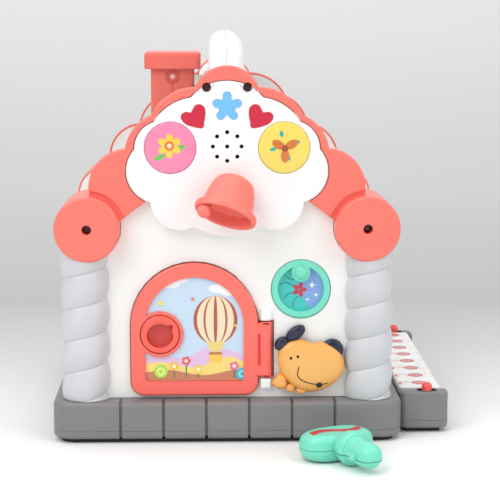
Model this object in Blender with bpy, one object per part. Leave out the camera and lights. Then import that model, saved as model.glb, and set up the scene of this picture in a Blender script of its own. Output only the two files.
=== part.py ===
import bpy
import bmesh
import math
from mathutils import Matrix, Vector

# Toy house with sorting holes, a keyboard wing, a locked door and push buttons.
# Metres, +Z up, the front faces -Y, the origin is under the middle of the plinth; its foot rim lies lower.

GAP = 0.0003  # between pieces that touch
PLAY = 0.0005  # around pieces that move
OVER = 0.002  # how far a cutter runs past what it cuts
ROUND_STEPS = 2
LARGE, MEDIUM, SMALL, TINY = 32, 20, 14, 8  # sides of round pieces, by size
MERGE = 0.00001
FLAT = math.radians(0.2)
QUARTER = math.pi / 2
SHARP = math.radians(35)

CORAL = (1.0, 0.23, 0.17)
DARK_CORAL = (0.9, 0.12, 0.09)
GREY = (0.29, 0.28, 0.28)
PALE_GREY = (0.68, 0.69, 0.71)
WHITE = (0.9, 0.9, 0.88)
MINT = (0.2, 0.9, 0.66)
NAVY = (0.02, 0.02, 0.05)
ORANGE = (1.0, 0.46, 0.13)
BLACK = (0.02, 0.02, 0.02)
SATIN, GLOSSY, DULL = 0.42, 0.22, 0.6

FRONT = -0.142
BACK = -FRONT
BASE = dict(half=0.131, top=0.0281, parting=0.0061, wall=0.0028, corner=0.016, rim=0.0038, under=0.003)
FOOT = dict(high=0.0033, inset=0.0060)  # the rim that the plinth and the wing stand on, under z = 0
BRICK = dict(pitch=0.032, count=6, width=0.0019, depth=0.0016)
BATTERY_SHARE = -0.508  # of the plinth's half width
BATTERY = dict(x=BASE["half"] * BATTERY_SHARE, y=0.04, wide=0.068, long=0.060, corner=0.004, deep=0.0021)
WING_WIDE = 0.0379
WING = dict(
    left=BASE["half"] + GAP,
    right=BASE["half"] + GAP + WING_WIDE,
    front=FRONT + 0.026,
    back=FRONT + 0.262,
    top=0.029,
    block=0.0125,
    rear_block=0.0155,
    tray=0.0165,
    corner=0.006,
    rim=0.0022,
)
PIANO_INSET, PIANO_END, AXLE_INSET, KNOB_INSET = 0.0015, 0.0047, 0.0059, 0.0217  # from the wing's sides
PIANO = dict(
    count=8, left=WING["left"] + PIANO_INSET, right=WING["right"] - PIANO_END, under=0.0205, top=0.0300, rim=0.0016
)
AXLE = dict(x=WING["left"] + AXLE_INSET, z=0.0243, radius=0.0012)
KNOB = dict(x=WING["left"] + KNOB_INSET, radius=0.0042, top=0.0345, stem=0.0019, foot=0.0032, travel=0.0030)
KNOB_SEAT_DEEP = 0.0010
PILLAR = dict(
    x=0.1061,
    inset=0.0195,
    valley=0.0158,
    bulge=0.0026,
    lead=0.0240,
    top=0.152,
    lift=0.0081,
    around=16,
    phase_shares=(0.0, 0.13, 0.37, 0.63, 0.87),
)
ROLL = dict(x=0.1034, z=0.1578, radius=0.0242, deep=0.055, rim=0.0022, groove=0.0278, hole=0.0035, hole_deep=0.010)
BOARD = dict(near=FRONT + 0.009, far=FRONT + 0.0157, groove=0.0025, rim=0.0018)
WALL = dict(near=BOARD["far"] + GAP, far=BOARD["far"] + GAP + 0.003, side=0.116, side_thick=0.003, side_top=0.164)
# The scallops of the roof, from the crown out: each valley's x as a share of the gable's half width, its height
# as a share of the gable's rise, and how far its arc bulges past the chord, as a share of the half width.
GABLE = dict(half=0.1022, foot=0.1580, peak=0.2773)
ROOF_DROP = 0.0153
ROOF = dict(step=0.0015, thick=0.003, flat=GABLE["peak"] - ROOF_DROP, fascia=0.123)
CROWN_SHARES = (0.228, 0.868, 0.155)
SCALLOP_SHARES = ((0.543, 0.698, 0.055), (0.734, 0.492, 0.041), (1.0, 0.243, 0.079))
EAVE_SHARES = (1.239, -0.050, 0.057)
BOARD_FOOT_SHARES = ((0.978, 0.0), (0.773, 0.042), (0.753, 0.058), (0.622, 0.143), (0.489, 0.226))

CLOUD = dict(near=FRONT + 0.0083, far=BOARD["far"], wall=0.0017, face=0.0026, rim=0.0016, gap=0.0005)
CLOUD_SHARE, CLOUD_DROP, CLOUD_STEP = 0.6683, 0.0065, 0.0109  # of the gable's half width; under its foot and peak
CLOUD_SIZE = dict(
    half=GABLE["half"] * CLOUD_SHARE, foot=GABLE["foot"] - CLOUD_DROP, peak=GABLE["peak"] - CLOUD_STEP
)
CLOUD_CROWN_SHARES = (0.390, 0.894, 0.179)
CLOUD_SHARES = ((0.791, 0.738, 0.054), (1.0, 0.564, 0.059), (0.833, 0.220, 0.168), (0.366, 0.056, 0.149))
CLOUD_FOOT_SHARE = 0.094
# Places on the cloud, as shares of its half width and of its rise.
BUTTON_SHARES, STAR_SHARE, HEART_PLACE_SHARES, SPEAKER_SHARE = (0.6120, 0.5744), 0.8355, (0.3587, 0.7746), 0.5814
CLOUD_RISE = CLOUD_SIZE["peak"] - CLOUD_SIZE["foot"]
BUTTON_SIZE_SHARES = (0.2810, 0.2965)  # the button and its flange, of the cloud's half width
BUTTON = dict(
    x=CLOUD_SIZE["half"] * BUTTON_SHARES[0],
    z=CLOUD_SIZE["foot"] + CLOUD_RISE * BUTTON_SHARES[1],
    radius=CLOUD_SIZE["half"] * BUTTON_SIZE_SHARES[0],
    flange=CLOUD_SIZE["half"] * BUTTON_SIZE_SHARES[1],
    dome=0.0010,
    flange_thick=0.001,
)
STAR = dict(z=CLOUD_SIZE["foot"] + CLOUD_RISE * STAR_SHARE, reach=0.0079, arm=0.0031, dip=0.0065, points=5)
STAR_DIP_SHARE = 0.2  # how far each of the two points of a dip lies from its middle, of half the step between arms
HEART = dict(
    x=CLOUD_SIZE["half"] * HEART_PLACE_SHARES[0],
    z=CLOUD_SIZE["foot"] + CLOUD_RISE * HEART_PLACE_SHARES[1],
    half=0.0088,
)
HEART_SHARES = (
    (-0.70, -0.98), (-0.87, -0.45), (-0.97, 0.23), (-0.88, 0.74), (-0.52, 0.98), (-0.13, 0.87), (0.12, 0.46),
    (0.26, 0.30), (0.68, 0.34), (1.0, 0.14), (1.02, -0.20), (0.79, -0.53), (0.34, -0.78),
)
SPEAKER = dict(z=CLOUD_SIZE["foot"] + CLOUD_RISE * SPEAKER_SHARE, ring=0.0105, hole=0.0014, count=8, radius=0.0145, clear=0.0160, deep=0.0155)
CIRCUIT = dict(half=0.048, low=0.200, high=0.234, thick=0.0014, corner=0.004)
TOP_SCREW = dict(x=0.0150, z=0.2615, hole=0.0035)
SCREW = dict(head=0.0030, thick=0.0022, slot=0.0007, slot_deep=0.0009)

BELL = dict(x=0.0076, y=FRONT + 0.0026, z=0.1974, pitch=-36, tilt=20, radius=0.0234, long=0.0364, squash=0.66)
BELL_BOSS = dict(radius=0.0040, drop=0.0062, flange=0.0056, flange_thick=0.0010)
# Outside from the crown to the lip, then inside back to the crown: shares of the rim radius and of the length.
BELL_SHARES = (
    (0.22, 0.030), (0.48, 0.100), (0.64, 0.220), (0.72, 0.400), (0.785, 0.620), (0.84, 0.790), (0.95, 0.830),
    (0.995, 0.875), (1.0, 0.930), (0.96, 0.985), (0.90, 1.0), (0.84, 0.955),
)
BELL_INSIDE_SHARES = (
    (0.84, 0.955), (0.775, 0.800), (0.72, 0.620), (0.65, 0.400), (0.57, 0.240), (0.42, 0.135), (0.0, 0.075)
)
CLAPPER = dict(x=-0.0154, y=-0.0030, z=-0.0389, radius=0.0050, stem=0.0014)

DOOR_PLACE = (-0.0247, 0.0477)  # its middle line and its half width
DOOR_NEAR, DOOR_FAR, PICTURE_NEAR, PICTURE_FAR = 0.0110, 0.0188, 0.0132, 0.0146  # behind the front
HINGE_BESIDE, HINGE_BEHIND, LOCK_ASIDE = 0.0058, 0.0160, 0.0258  # the pin from the door's edge, the lock from its middle
DOOR = dict(
    x=DOOR_PLACE[0],
    half=DOOR_PLACE[1],
    spring=0.0837,
    foot=0.0306,
    corner=0.0095,
    near=FRONT + DOOR_NEAR,
    far=FRONT + DOOR_FAR,
    frame=0.0109,
    rim=0.0016,
    gap=0.0007,
    window_corner=0.0024,
)
PICTURE = dict(near=FRONT + PICTURE_NEAR, far=FRONT + PICTURE_FAR, edge=0.0016)
HINGE = dict(
    x=sum(DOOR_PLACE) + HINGE_BESIDE,
    y=FRONT + HINGE_BEHIND,
    low=0.0442,
    high=0.0866,
    step=0.0008,
    radius=0.0053,
    pin=0.00125,
    slit=0.0010,
    slit_deep=0.0011,
)
KNUCKLE = dict(half=0.0041, tall=0.0081, near=FRONT + 0.0115, rim=0.0014)
LOCK = dict(x=DOOR["x"] - LOCK_ASIDE, z=0.0776, boss=0.0174, rotor=0.0145, bowl=0.0099, bowl_deep=0.0062, notch=0.0021, notch_out=0.0126)
TONGUE = dict(half=0.0040, reach=0.0250, thick=0.0022)

DIAL = dict(x=0.0550, z=0.1108, ring=0.0221, window=0.0172, lobe=0.0071, lobe_up=0.0125, knob=0.0054, knob_out=0.0030, near=FRONT + 0.0148)
DIAL_FLANGE = dict(radius=0.0236, thick=0.0010)
KEEPER = dict(radius=0.0268, rim=0.0024, inner=0.0195, thick=0.0014, drop=0.0030)

DOG = dict(x=0.0625, z=0.0535, half=0.0250, tall=0.0199, near=FRONT + 0.0050, far=FRONT + 0.0128)
DOG_STEM = dict(radius=0.0060, flange=0.0074, flange_thick=0.0010)
DOG_RIM = 0.0052
# Points of the face as shares of its half width and height; toes and ears too, with radii as shares of the half width.
DOG_SHARES = (
    (-1.0, 0.19), (-0.96, 0.52), (-0.85, 0.74), (-0.65, 0.91), (-0.36, 1.0), (-0.15, 0.95), (0.03, 0.85), (0.20, 0.89),
    (0.43, 0.86), (0.67, 0.72), (0.89, 0.46), (1.0, 0.08), (0.95, -0.27), (0.76, -0.61), (0.42, -0.89), (0.06, -1.0),
    (-0.32, -0.93), (-0.65, -0.65), (-0.89, -0.27),
)
BIG_TOE_SHARES = (
    (-1.18, -0.65), (-1.06, -0.43), (-0.93, -0.29), (-0.76, -0.45), (-0.73, -0.78), (-0.90, -0.89), (-1.07, -0.83)
)
TOE_RIM_SHARE = 0.14
# Each small toe and each ear: centre, half length, half width, then its turn in degrees.
TOE_SHARES = ((-0.623, -0.860, 0.130, 0.130, 0), (-0.292, -0.965, 0.158, 0.108, -8))
EARS = dict(near=FRONT + 0.0085, web=0.0012)
EAR_SHARES = (
    (-0.886, 0.838, 0.236, 0.180, 45),
    (-0.466, 1.231, 0.336, 0.193, 36),
    (0.639, 0.580, 0.335, 0.335, 0),
)

HANDLE = dict(half=0.0136, rise=0.0134, drop=0.0050, seam=0.0001, block=0.0760)
GRIP_DROP, GRIP_RISE = 0.0113, 0.0101  # from the gable's peak
GRIP = dict(start=0.060, low=GABLE["peak"] - GRIP_DROP, high=GABLE["peak"] + GRIP_RISE)
# Middle line of the grip, as shares of the way to the middle of the house and of its rise.
GRIP_SHARES = ((0.0, 0.0), (0.03, 0.47), (0.13, 0.80), (0.32, 0.94), (0.56, 0.99), (1.0, 1.0))

CHIMNEY = dict(x=-0.0413, y=FRONT + 0.100, half=0.0169, wall=0.0020, low=0.2290, top=0.2810, corner=0.0030)
CAP = dict(half=0.0218, low=0.2720, top=0.2853, corner=0.0042, rim=0.0030)
LAMP = dict(z=0.2662, radius=0.0052, thick=0.0030, dome=0.0020, stalk=0.0007, setback=0.0030, foot=0.0016)

PANEL = dict(half=0.058, low=0.046, high=0.150, corner=0.008, near=BACK - 0.0212, far=BACK - 0.0150, lip=0.004)
SORT = dict(x=0.028, high=0.124, low=0.070, size=0.0200, rim=0.002)
# Sorting holes: sides (many for a circle), left or right, up or down, radius as a share of the size, turn.
SORT_SHARES = ((LARGE, -1, 1, 0.88, 0), (4, 1, 1, 1.12, 45), (3, -1, 0, 1.08, 90), (6, 1, 0, 0.95, 30))

KEY_LIES = 0.0008 - FOOT["high"]
KEY = dict(
    x=0.0776,
    y=FRONT - 0.0402,
    z=KEY_LIES + 0.0120,
    turn=-65.3,
    seam=KEY_LIES + 0.0093,
    half_long=0.0157,
    half_wide=0.0283,
    low=KEY_LIES,
    high=KEY_LIES + 0.0195,
)
# Rings of the head: how wide, and how high between its lowest and highest.
KEY_HEAD_SHARES = ((0.72, 0.0), (0.88, 0.10), (0.97, 0.26), (1.0, 0.5), (0.985, 0.72), (0.93, 0.88), (0.82, 0.97), (0.70, 1.0))
KEY_SHAFT = dict(radius=0.0126, long=0.0535)
KEY_SHAFT_SHARES = (
    (0.88, 0.326), (0.98, 0.384), (1.0, 0.453), (0.93, 0.507), (0.79, 0.540), (0.77, 0.860), (0.65, 0.942), (0.38, 0.988),
)
KEY_TAB = dict(near=0.0365, far=0.0420, out=0.0126, half=0.0017)


# Outlines


def arc(start, end, bulge, steps):
    # Points of the arc from start up to but not including end; it bulges to the left of the way it runs.
    a, b = Vector(start), Vector(end)
    chord = b - a
    half = chord.length / 2
    radius = (half * half + bulge * bulge) / (2 * bulge)
    side = Vector((-chord.y, chord.x)).normalized()
    centre = (a + b) / 2 + side * (bulge - radius)
    first = a - centre
    turn = -2 * math.asin(min(1, half / radius))
    points = []
    for k in range(steps):
        angle = turn * k / steps
        c, s = math.cos(angle), math.sin(angle)
        points.append((centre.x + first.x * c - first.y * s, centre.y + first.x * s + first.y * c))
    return points


def circle(x, z, radius, count):
    return [
        (x + radius * math.cos(2 * math.pi * k / count), z + radius * math.sin(2 * math.pi * k / count))
        for k in range(count)
    ]


def polygon(x, z, radius, sides, degrees):
    turn = math.radians(degrees)
    return [
        (x + radius * math.cos(2 * math.pi * k / sides + turn), z + radius * math.sin(2 * math.pi * k / sides + turn))
        for k in range(sides)
    ]


def oval(x, z, half_long, half_wide, degrees, count):
    turn = math.radians(degrees)
    c, s = math.cos(turn), math.sin(turn)
    points = []
    for k in range(count):
        u = half_long * math.cos(2 * math.pi * k / count)
        v = half_wide * math.sin(2 * math.pi * k / count)
        points.append((x + u * c - v * s, z + u * s + v * c))
    return points


def rounded(x0, x1, z0, z1, corner, steps=4):
    points = []
    for cx, cz, first in (
        (x1 - corner, z1 - corner, 0),
        (x0 + corner, z1 - corner, 1),
        (x0 + corner, z0 + corner, 2),
        (x1 - corner, z0 + corner, 3),
    ):
        for k in range(steps + 1):
            angle = QUARTER * (first + k / steps)
            points.append((cx + corner * math.cos(angle), cz + corner * math.sin(angle)))
    return points


def arch(x, half, spring, foot, corner, steps=18):
    # A round-topped outline with rounded foot corners.
    points = [(x + half * math.cos(math.pi * k / steps), spring + half * math.sin(math.pi * k / steps)) for k in range(steps + 1)]
    for cx, first in ((x - half + corner, 2), (x + half - corner, 3)):
        for k in range(5):
            angle = QUARTER * (first + k / 4)
            points.append((cx + corner * math.cos(angle), foot + corner + corner * math.sin(angle)))
    return points


def flowing(points, steps=2):
    # A smooth closed line through the points.
    count = len(points)
    out = []
    for k in range(count):
        p0, p1, p2, p3 = (Vector(points[(k + j) % count]) for j in (-1, 0, 1, 2))
        for j in range(steps):
            t = j / steps
            p = p1 * 2 + (p2 - p0) * t + (p0 * 2 - p1 * 5 + p2 * 4 - p3) * t**2 + (p1 * 3 - p0 - p2 * 3 + p3) * t**3
            out.append((p.x / 2, p.y / 2))
    return out


def mirrored(right):
    # The right half of an outline, from the middle line outward, made whole.
    return right + [(-x, z) for x, z in reversed(right) if x > GAP]


def inset(points, amount):
    # The outline moved inward by the amount, square to each side.
    count = len(points)
    area = sum(points[k][0] * points[(k + 1) % count][1] - points[(k + 1) % count][0] * points[k][1] for k in range(count))
    way = 1 if area > 0 else -1
    out = []
    for k in range(count):
        before, here, after = (Vector(points[(k + j) % count]) for j in (-1, 0, 1))
        a, b = (here - before).normalized(), (after - here).normalized()
        na, nb = Vector((-a.y, a.x)) * way, Vector((-b.y, b.x)) * way
        middle = (na + nb).normalized()
        lean = max(middle.dot(na), 0.5)
        out.append(tuple(here + middle * (amount / lean)))
    return out


def scalloped(valleys, first, steps):
    # Arcs from the first valley out to the last one.
    points = []
    start = first
    for x, z, bulge in valleys:
        points += arc(start, (x, z), bulge, steps)
        start = (x, z)
    return points + [start]


def sized(shares, size):
    # Points and bulges in metres from shares of a gable's size.
    half, foot, rise = size["half"], size["foot"], size["peak"] - size["foot"]
    return [(x * half, foot + z * rise, *(bulge * half for bulge in rest)) for x, z, *rest in shares]


def top_half(size, crown_shares, scallop_shares, steps):
    # The right half of a scalloped line, from the top of its crown.
    (x, z, bulge), *_ = sized([crown_shares], size)
    crown = arc((-x, z), (x, z), bulge, 2 * steps)[steps:]
    return crown + scalloped(sized(scallop_shares, size), (x, z), steps)


def gable_edge():
    return top_half(GABLE, CROWN_SHARES, SCALLOP_SHARES, 5)


def cloud_outline():
    edge = top_half(CLOUD_SIZE, CLOUD_CROWN_SHARES, CLOUD_SHARES, 6)
    x, z = edge[-1]
    low = arc((x, z), (-x, z), CLOUD_FOOT_SHARE * CLOUD_SIZE["half"], 6)[1:4]
    return mirrored(edge + low)


# Solids


def place(axis, a, b, level):
    return {"X": (level, a, b), "Y": (a, level, b), "Z": (a, b, level)}[axis]


def solid(name, loops):
    # A closed body from rings of points; a ring may be a single point.
    form = bmesh.new()
    rings = [[form.verts.new(p) for p in loop] for loop in loops]
    for low, high in zip(rings, rings[1:]):
        count = max(len(low), len(high))
        for k in range(count):
            j = (k + 1) % count
            if len(low) == 1:
                form.faces.new((low[0], high[j], high[k]))
            elif len(high) == 1:
                form.faces.new((low[k], low[j], high[0]))
            else:
                form.faces.new((low[k], low[j], high[j], high[k]))
    for end in (rings[0], rings[-1]):
        if len(end) > 2:
            form.faces.new(end)
    bmesh.ops.recalc_face_normals(form, faces=form.faces)
    mesh = bpy.data.meshes.new(name)
    form.to_mesh(mesh)
    form.free()
    body = bpy.data.objects.new(name, mesh)
    bpy.context.scene.collection.objects.link(body)
    return body


def plate(name, outline, near, far, rim=0, back_rim=0, axis="Y"):
    # A flat piece with its outline; its near edge, and its far edge if asked, is rounded.
    layers = []
    for k in range(ROUND_STEPS + 1 if rim else 0):
        angle = QUARTER * k / ROUND_STEPS
        layers.append((rim * (1 - math.sin(angle)), near + rim * (1 - math.cos(angle))))
    layers = layers or [(0, near)]
    for k in range(ROUND_STEPS, -1, -1) if back_rim else ():
        angle = QUARTER * k / ROUND_STEPS
        layers.append((back_rim * (1 - math.sin(angle)), far - back_rim * (1 - math.cos(angle))))
    if not back_rim:
        layers.append((0, far))
    loops = []
    for amount, level in layers:
        points = inset(outline, amount) if amount > 0 else outline
        loops.append([place(axis, a, b, level) for a, b in points])
    return solid(name, loops)


def turned(name, profile, a, b, axis="Y", count=32):
    # A body of revolution from (radius, level) pairs, about a line through (a, b).
    loops = []
    for radius, level in profile:
        points = circle(a, b, radius, count) if radius > 0 else [(a, b)]
        loops.append([place(axis, p, q, level) for p, q in points])
    return solid(name, loops)


def rod(name, radius, near, far, a, b, axis="Y", count=24):
    return turned(name, [(radius, near), (radius, far)], a, b, axis, count)


def box(name, x0, x1, y0, y1, z0, z1):
    return plate(name, [(x0, z0), (x1, z0), (x1, z1), (x0, z1)], y0, y1)


def combine(body, tool, how):
    change = body.modifiers.new(how, "BOOLEAN")
    change.operation = how
    change.solver = "EXACT"
    change.object = tool
    mesh = bpy.data.meshes.new_from_object(body.evaluated_get(bpy.context.evaluated_depsgraph_get()))
    body.modifiers.clear()
    body.data = mesh
    bpy.data.objects.remove(tool)
    return body


def cut(body, *tools):
    for tool in tools:
        combine(body, tool, "DIFFERENCE")
    return body


def join(body, *tools):
    for tool in tools:
        combine(body, tool, "UNION")
    return body


def trim(body, tool):
    return combine(body, tool, "INTERSECT")


def finish(body, colour, roughness=SATIN, pivot=None, parent=None, metallic=0.0):
    # Cleans the mesh, puts the origin on the pivot, shades and colours the piece.
    form = bmesh.new()
    form.from_mesh(body.data)
    bmesh.ops.remove_doubles(form, verts=form.verts, dist=MERGE)
    bmesh.ops.dissolve_limit(form, angle_limit=FLAT, verts=form.verts, edges=form.edges)
    bmesh.ops.triangulate(form, faces=[f for f in form.faces if len(f.verts) > 4])
    if pivot is not None:
        bmesh.ops.translate(form, verts=form.verts, vec=-Vector(pivot))
    form.to_mesh(body.data)
    form.free()
    body.data.shade_smooth()
    body.data.set_sharp_from_angle(angle=SHARP)
    if pivot is not None:
        body.location = pivot
    if parent is not None:
        body.parent = parent
        body.location = body.location - parent.location
    paint = bpy.data.materials.new(body.name)
    paint.use_nodes = True
    surface = paint.node_tree.nodes["Principled BSDF"]
    surface.inputs["Base Color"].default_value = (*colour, 1)
    surface.inputs["Roughness"].default_value = roughness
    surface.inputs["Metallic"].default_value = metallic
    paint.diffuse_color = (*colour, 1)
    body.data.materials.clear()
    body.data.materials.append(paint)
    return body


for old in list(bpy.data.objects):
    bpy.data.objects.remove(old)


# Plinth


def plan(x0, x1, y0, y1, corner, steps=4):
    return rounded(x0, x1, y0, y1, corner, steps)


def brick_grooves():
    tools = []
    for k in range(BRICK["count"]):
        x = (k - (BRICK["count"] - 1) / 2) * BRICK["pitch"]
        half = BRICK["width"] / 2
        tools.append(box("groove", x - half, x + half, FRONT - OVER, FRONT + BRICK["depth"], -OVER, BASE["top"] + OVER))
    return tools


def shell_plan(amount):
    side = BASE["half"] - amount
    return plan(-side, side, FRONT + amount, BACK - amount, BASE["corner"] - amount)


def base_upper():
    low, high, wall = BASE["parting"] + GAP, BASE["top"], BASE["wall"]
    body = plate("base_upper", shell_plan(0), low, high, 0, BASE["rim"], "Z")
    cut(body, plate("hollow", shell_plan(wall), low - OVER, high - wall, axis="Z"))
    cut(body, *brick_grooves())
    # Screw posts that reach down to the cover, and ribs under the floor.
    for x in (-1, 1):
        for y in (-1, 1):
            post = rod("post", wall * 1.6, low, high - wall / 2, x * BASE["half"] * 0.85, y * BACK * 0.85, "Z", TINY)
            join(body, post)
    return finish(body, GREY)


def foot_rim(plan_line):
    # The rim under a cover that it stands on, set in from the edge.
    rim = plate("foot", plan_line(FOOT["inset"]), -FOOT["high"], GAP, GAP, 0, "Z")
    return cut(rim, plate("foot_room", plan_line(FOOT["inset"] + BASE["wall"]), -FOOT["high"] - OVER, GAP + OVER, axis="Z"))


def base_cover():
    high, wall = BASE["parting"], BASE["wall"]
    body = plate("base_cover", shell_plan(0), 0, high, BASE["under"], 0, "Z")
    join(body, foot_rim(shell_plan))
    cut(body, plate("hollow", shell_plan(wall), wall, high + OVER, axis="Z"))
    cut(body, *brick_grooves())
    x, y, w, h = BATTERY["x"], BATTERY["y"], BATTERY["wide"] / 2 + GAP, BATTERY["long"] / 2 + GAP
    cut(body, plate("bay", plan(x - w, x + w, y - h, y + h, BATTERY["corner"]), -OVER, BATTERY["deep"] + GAP, axis="Z"))
    return finish(body, GREY)


def battery_door():
    x, y, w, h = BATTERY["x"], BATTERY["y"], BATTERY["wide"] / 2, BATTERY["long"] / 2
    body = plate("battery_door", plan(x - w, x + w, y - h, y + h, BATTERY["corner"]), GAP, BATTERY["deep"], axis="Z")
    for k in (-1, 0, 1):
        rib = box("rib", x - w / 3, x + w / 3, y + k * BATTERY["corner"], y + k * BATTERY["corner"] + GAP * 4, 0, GAP * 3)
        cut(body, rib)
    return finish(body, GREY)


# Keyboard wing


def wing_plan(amount):
    corner = max(WING["corner"] - amount, GAP * 3)
    return plan(WING["left"] + amount, WING["right"] - amount, WING["front"] + amount, WING["back"] - amount, corner)


KEYS_FRONT = WING["front"] + WING["block"]
KEYS_BACK = WING["back"] - WING["rear_block"]
KEY_PITCH = (KEYS_BACK - KEYS_FRONT) / PIANO["count"]
KNOB_SPOTS = (("front", WING["front"] + WING["block"] / 2), ("rear", WING["back"] - WING["rear_block"] / 2))


def wing_housing():
    low, high, wall = BASE["parting"] + GAP, WING["top"], BASE["wall"]
    body = plate("wing_housing", wing_plan(0), low, high, 0, WING["rim"], "Z")
    cut(body, box("key_bed", WING["left"] - OVER, WING["right"] + OVER, KEYS_FRONT, KEYS_BACK, WING["tray"], high + OVER))
    # Hollow under the key bed, and higher in each end block.
    inner = (WING["left"] + wall, WING["right"] - wall)
    cut(body, box("hollow", *inner, WING["front"] + wall, WING["back"] - wall, low - OVER, WING["tray"] - wall))
    for near, far in ((WING["front"], KEYS_FRONT), (KEYS_BACK, WING["back"])):
        cut(body, box("end_hollow", *inner, near + wall, far - wall, low - OVER, high - wall))
    for _, y in KNOB_SPOTS:
        # A shallow seat for the knob's foot, and a slit through it for the stem; both allow the knob's travel.
        for radius, depth in ((KNOB["radius"], KNOB_SEAT_DEEP), (KNOB["stem"], wall + OVER)):
            wide = radius + GAP
            long = wide + KNOB["travel"]
            room = rounded(KNOB["x"] - long, KNOB["x"] + long, y - wide, y + wide, wide - MERGE * 2, 6)
            cut(body, plate("knob_room", room, high - depth, high + OVER, axis="Z"))
    seat = AXLE["radius"] + GAP
    cut(body, rod("axle_seat", seat, KEYS_FRONT - wall / 2, KEYS_BACK + wall / 2, AXLE["x"], AXLE["z"], "Y", TINY))
    return finish(body, GREY)


def wing_cover():
    high, wall = BASE["parting"], BASE["wall"]
    body = plate("wing_cover", wing_plan(0), 0, high, WING["rim"], 0, "Z")
    join(body, foot_rim(wing_plan))
    cut(body, plate("hollow", wing_plan(wall), wall, high + OVER, axis="Z"))
    return finish(body, GREY)


def key_axle():
    end = BASE["wall"] / 2 - GAP
    body = rod("key_axle", AXLE["radius"], KEYS_FRONT - end, KEYS_BACK + end, AXLE["x"], AXLE["z"], "Y", TINY)
    return finish(body, PALE_GREY, GLOSSY, metallic=1.0)


def piano_key(number):
    near = KEYS_FRONT + number * KEY_PITCH + GAP
    far = near + KEY_PITCH - 2 * GAP
    name = f"piano_key_{number + 1}"
    top = plate(name, plan(PIANO["left"], PIANO["right"], near, far, PIANO["rim"] * 1.6, 1), PIANO["under"], PIANO["top"], 0, PIANO["rim"], "Z")
    hub = AXLE["radius"] + PIANO["rim"]
    join(top, rod("hub", hub, near, far, AXLE["x"], AXLE["z"], "Y", SMALL))
    cut(top, rod("bore", AXLE["radius"] + GAP, near - OVER, far + OVER, AXLE["x"], AXLE["z"], "Y", TINY))
    return finish(top, WHITE, SATIN, pivot=(AXLE["x"], (near + far) / 2, AXLE["z"]))


def switch_knob(where, y):
    r, stem = KNOB["radius"], KNOB["stem"]
    foot = WING["top"] - BASE["wall"] - GAP
    top, swell = KNOB["top"], r * 0.9
    ledge = WING["top"] - KNOB_SEAT_DEEP + GAP
    profile = [(0, foot - r * 0.4), (KNOB["foot"], foot - r * 0.4), (KNOB["foot"], foot), (stem, foot), (stem, ledge)]
    profile += [(r, ledge), (r, top - swell)]
    profile += [(r * math.cos(QUARTER * k / 4), top - swell + swell * math.sin(QUARTER * k / 4)) for k in (1, 2, 3)]
    profile += [(0, top)]
    body = turned(f"switch_knob_{where}", profile, KNOB["x"], y, "Z", SMALL)
    return finish(body, DARK_CORAL, GLOSSY, pivot=(KNOB["x"], y, WING["top"]))


# Pillars


def twisted(name, x, y, low, high):
    # A post with one fat thread; each column of points climbs with the thread, so the valley stays sharp.
    phases = PILLAR["phase_shares"]
    per_turn, around, lead = len(phases), PILLAR["around"], PILLAR["lead"]
    turns = int((high - low) / lead) + 2
    foot = low + PILLAR["lift"]
    form = bmesh.new()
    columns = []
    for i in range(around):
        share = i / around
        column = []
        for j in range(-2 * per_turn, turns * per_turn):
            z = foot + lead * (j // per_turn + phases[j % per_turn] + share)
            z = min(max(z, low), high)
            phase = ((z - foot) / lead - share) % 1
            radius = PILLAR["valley"] + PILLAR["bulge"] * math.sin(math.pi * phase) ** 0.6
            angle = 2 * math.pi * share
            column.append(form.verts.new((x + radius * math.cos(angle), y + radius * math.sin(angle), z)))
        columns.append(column)
    for i in range(around):
        here, after = columns[i], columns[(i + 1) % around]
        shift = per_turn if i == around - 1 else 0
        for j in range(len(here) - 1 - shift):
            form.faces.new((here[j], after[j + shift], after[j + shift + 1], here[j + 1]))
    bmesh.ops.remove_doubles(form, verts=form.verts, dist=MERGE / 10)
    loose = [v for v in form.verts if not v.link_faces]
    bmesh.ops.delete(form, geom=loose, context="VERTS")
    bmesh.ops.holes_fill(form, edges=[e for e in form.edges if e.is_boundary], sides=0)
    bmesh.ops.triangulate(form, faces=form.faces)
    bmesh.ops.recalc_face_normals(form, faces=form.faces)
    mesh = bpy.data.meshes.new(name)
    form.to_mesh(mesh)
    form.free()
    body = bpy.data.objects.new(name, mesh)
    bpy.context.scene.collection.objects.link(body)
    return body


def pillar(name, side, end):
    y = end * (BACK - PILLAR["inset"])
    body = twisted(name, side * PILLAR["x"], y, BASE["top"] - BASE["rim"] * 0.46, PILLAR["top"])
    # The foot follows the rounded edge of the plinth.
    cut(body, plate("base_room", shell_plan(-GAP), 0, BASE["top"] + GAP, 0, BASE["rim"] + GAP, "Z"))
    near, far = (FRONT - OVER, FRONT + ROLL["deep"] + OVER) if end < 0 else (BACK - ROLL["deep"] - OVER, BACK + OVER)
    cut(body, rod("saddle", ROLL["radius"] + GAP, near, far, side * ROLL["x"], ROLL["z"], "Y", LARGE))
    return finish(body, PALE_GREY, DULL, pivot=(side * PILLAR["x"], y, BASE["top"] + GAP))


# Roof and gables


def roof_line(amount, close, steps=5):
    # The right half of the roof skin from the ridge out to the foot of the fascia, moved inward by the amount.
    valleys = sized([CROWN_SHARES, *SCALLOP_SHARES, EAVE_SHARES], GABLE)
    line = scalloped(valleys[1:], valleys[0][:2], steps)
    x, z = line[-1]
    out = x + ROOF["thick"] * 0.9
    line += [(out, z - ROOF["thick"] * 2), (out, ROOF["fascia"])]
    whole = [(close, ROOF["flat"] + ROOF["step"])] + line
    ring = whole + [(close, ROOF["fascia"])]
    moved = inset(ring, amount)[: len(whole)]
    moved[0] = (close, moved[0][1])
    moved[-1] = (moved[-1][0], ROOF["fascia"])
    return moved


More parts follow.
